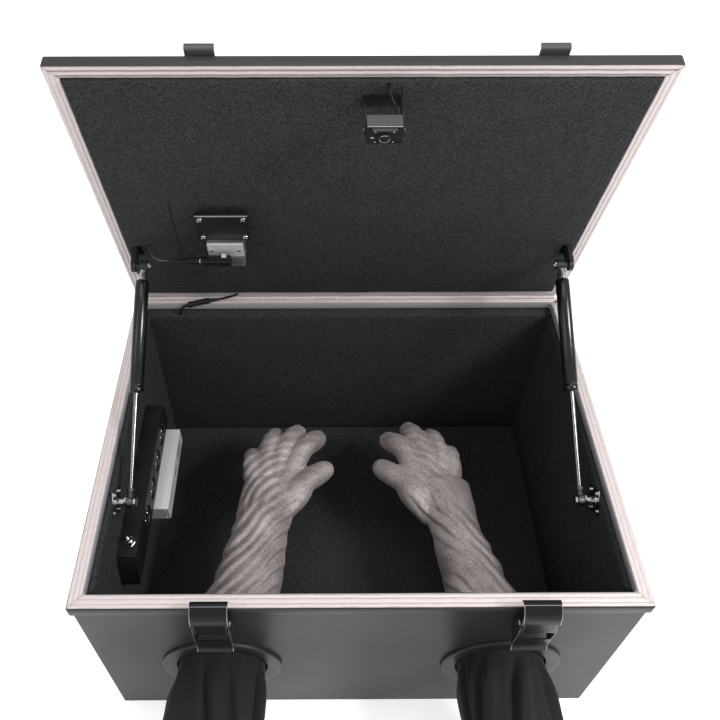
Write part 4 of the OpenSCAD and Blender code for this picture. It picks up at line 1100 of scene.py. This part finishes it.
def glove(side, s):
    """A blown-out knit glove: fingers and palm merged into one skin, then twisted folds along the forearm."""
    arm, fingers = ARMS[side], FINGERS[side]
    shape = Shape()
    rows, n = 70, 40
    shape.faces([(x + rx * math.cos(2 * math.pi * k / n), y, z + rz * math.sin(2 * math.pi * k / n))
                 for x, y, z, rx, rz in spread(arm, rows) for k in range(n)], grid(rows, n))
    wrist = arm[-1]
    for i, (kx, ky, tx, ty, r) in enumerate(fingers):
        thumb = i == 4
        base = (wrist[0] * 0.55 + kx * 0.45, wrist[1] * 0.7, HAND_Z, 22)
        rise, drop, swell = 6, 12, 1.0
        if thumb:
            base = (kx + 22, ky - 34, HAND_Z - 3, 22)
            rise, drop, swell = 3, 5, 6.0
        ty += drop * 0.6
        at = [(kx * (1 - t) + tx * t, ky * (1 - t) + ty * t) for t in (0.3, 0.6, 0.85)]
        path = [base, (kx, ky - 8, HAND_Z + rise, r + swell), (*at[0], HAND_Z + rise + 1.5, r + 0.3),
                (*at[1], HAND_Z + rise - 1.5, r + 0.3), (*at[2], HAND_Z - drop * 0.5, r - 0.5),
                (tx, ty, HAND_Z - drop, r - 2.2)]
        for x, y, z, rr in spread(path, 46):
            ball(shape, x, y, z, rr)
    for (ax, ay), (bx, by) in zip([f[:2] for f in fingers[:3]], [f[:2] for f in fingers[1:4]]):
        for t in (0.25, 0.5, 0.75):
            ball(shape, ax + (bx - ax) * t, ay + (by - ay) * t - 8, HAND_Z + 3, 16)
    obj = shape.object("knit_glove_" + side, KNIT, sharp=0)
    skin = obj.modifiers.new("skin", "REMESH")
    skin.mode, skin.voxel_size = "VOXEL", 2.6 * MM
    soft = obj.modifiers.new("soft", "SMOOTH")
    soft.factor, soft.iterations = 0.5, 5
    applied(obj)
    mesh = obj.data
    centre = np.array(arm)
    bm = bmesh.new()
    bm.from_mesh(mesh)
    bm.normal_update()
    bmesh.ops.delete(bm, geom=[v for v in bm.verts if v.co.y < CUFF_Y * MM], context="VERTS")
    moves = []
    for v in bm.verts:
        x, y, z = (v.co / MM)[:]
        p = Vector((x, y, z))
        cx = np.interp(y, centre[:, 1], centre[:, 0])
        rx = np.interp(y, centre[:, 1], centre[:, 3])
        on_arm = 1.0 - ease((y + 48) / 50.0)
        tip = ease((y - 62) / 26.0)
        drift = Vector((3.1 * s, 1, 0))
        warp = 10.0 * noise.noise(p / 66.0 + Vector((0, 0, 7 * s))) + 1.6 * noise.noise(p / 26.0)
        arm_phase = ((x - cx) * 0.8 + y * 0.56 + (z - 160) * 0.32 + warp) / ARM_PITCH
        reach = math.hypot(x - 85, (y + 35) * 0.92)
        hand_phase = (reach + (z - 160) * 0.3 + warp) / HAND_PITCH
        outer = ease((x - (96 if s < 0 else 104)) / 34.0)
        across = Vector((p.x * 0.75 + p.y * 0.55, (p.y * 0.8 - p.x * 0.55) * 0.35, p.z * 0.5))
        patch = min(1.0, max(0.15, 0.7 + 1.2 * noise.noise(across / 38.0 + drift)))
        facing = 0.3 + 0.7 * ease(v.normal.z * 1.6 + 0.25)
        inner = (1.0 + 0.5 * min(1.0, max(0.0, (cx - x) / rx))) * facing
        end = min(1.0, max(0.0, (y + 219) / 18.0))
        folds = on_arm * inner * (fold(arm_phase) - 0.5)
        folds += (1 - on_arm) * (1 - tip) * facing * (0.2 + 0.8 * outer) * (fold(hand_phase) - 0.5)
        puff = PUFF_DEPTH * noise.noise(p / 34.0 + Vector((9, 0, 0)))
        joint = tip * facing * FINGER_DEPTH * (fold((y * 0.86 + x * 0.3 + warp) / FINGER_PITCH, 0.5) - 0.5)
        moves.append((v, v.normal * ((FOLD_DEPTH * folds * patch + puff * (1 - tip)) * end + joint) * MM))
    for v, move in moves:
        v.co += move
    for _ in range(3):
        bmesh.ops.smooth_vert(bm, verts=bm.verts, factor=0.25, use_axis_x=True, use_axis_y=True, use_axis_z=True)
    if s < 0:
        bmesh.ops.scale(bm, vec=(-1, 1, 1), verts=bm.verts)
        bmesh.ops.reverse_faces(bm, faces=bm.faces)
    bm.to_mesh(mesh)
    bm.free()
    thicken(obj)
    fine = obj.modifiers.new("fine", "SUBSURF")
    fine.levels = fine.render_levels = 1
    applied(obj)
    settle(obj, "tub", ["glove_" + side])


for side, s in SIDES.items():
    glove(side, s)

# ---- studio ----
FLOOR = Finish("studio_floor", (0.86, 0.86, 0.86), 0.9)
FLOOR.put("Base Color", FLOOR.ramp(FLOOR.noise(3.0), (0.3, (0.84, 0.84, 0.84)), (0.7, (0.88, 0.88, 0.88))))
FLOOR.put("Emission Color", (1.0, 1.0, 1.0))
FLOOR.put("Emission Strength", 0.45)
ground, far = Shape(), 6000
ground.faces([(x * far, y * far, -0.5) for x, y in ((-1, -1), (1, -1), (1, 1), (-1, 1))], [(0, 1, 2, 3)])
ground.object("studio_floor", FLOOR)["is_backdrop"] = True

world = bpy.data.worlds.new("studio")
bpy.context.scene.world = world
world.use_nodes = True
sky = world.node_tree.nodes["Background"].inputs
sky[0].default_value, sky[1].default_value = (1.0, 1.0, 1.0, 1.0), 1.0


def lamp(name, where, aim, size, power):
    """A rectangular studio light."""
    light = bpy.data.lights.new(name, "AREA")
    light.shape, light.size, light.size_y, light.energy = "RECTANGLE", size[0], size[1], power
    obj = bpy.data.objects.new(name, light)
    bpy.context.scene.collection.objects.link(obj)
    obj.location = where
    obj.rotation_euler = (Vector(aim) - Vector(where)).to_track_quat("-Z", "Y").to_euler()
    obj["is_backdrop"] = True


lamp("key", (1.7, -0.7, 2.1), (0, 0.0, 0.25), (0.7, 0.7), 66)
lamp("fill", (-1.5, -0.9, 1.9), (0, 0.0, 0.25), (1.0, 1.2), 8)
lamp("top", (0.0, 0.1, 2.5), (0, 0.0, 0.2), (1.6, 0.8), 12)

lens = bpy.data.cameras.new("view")
lens.lens, lens.sensor_width = 37.78, 36.0
lens.shift_x, lens.shift_y = 0.0528, -0.0972
lens.clip_start, lens.clip_end = 0.01, 50.0
viewer = bpy.data.objects.new("view", lens)
bpy.context.scene.collection.objects.link(viewer)
viewer.location = (-0.0479, -0.6055, 1.2587)
viewer.rotation_euler = (math.radians(90 - 45.73), 0.0, math.radians(-0.27))
bpy.context.scene.camera = viewer
bpy.context.scene.view_settings.view_transform = "Standard"

low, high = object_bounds()
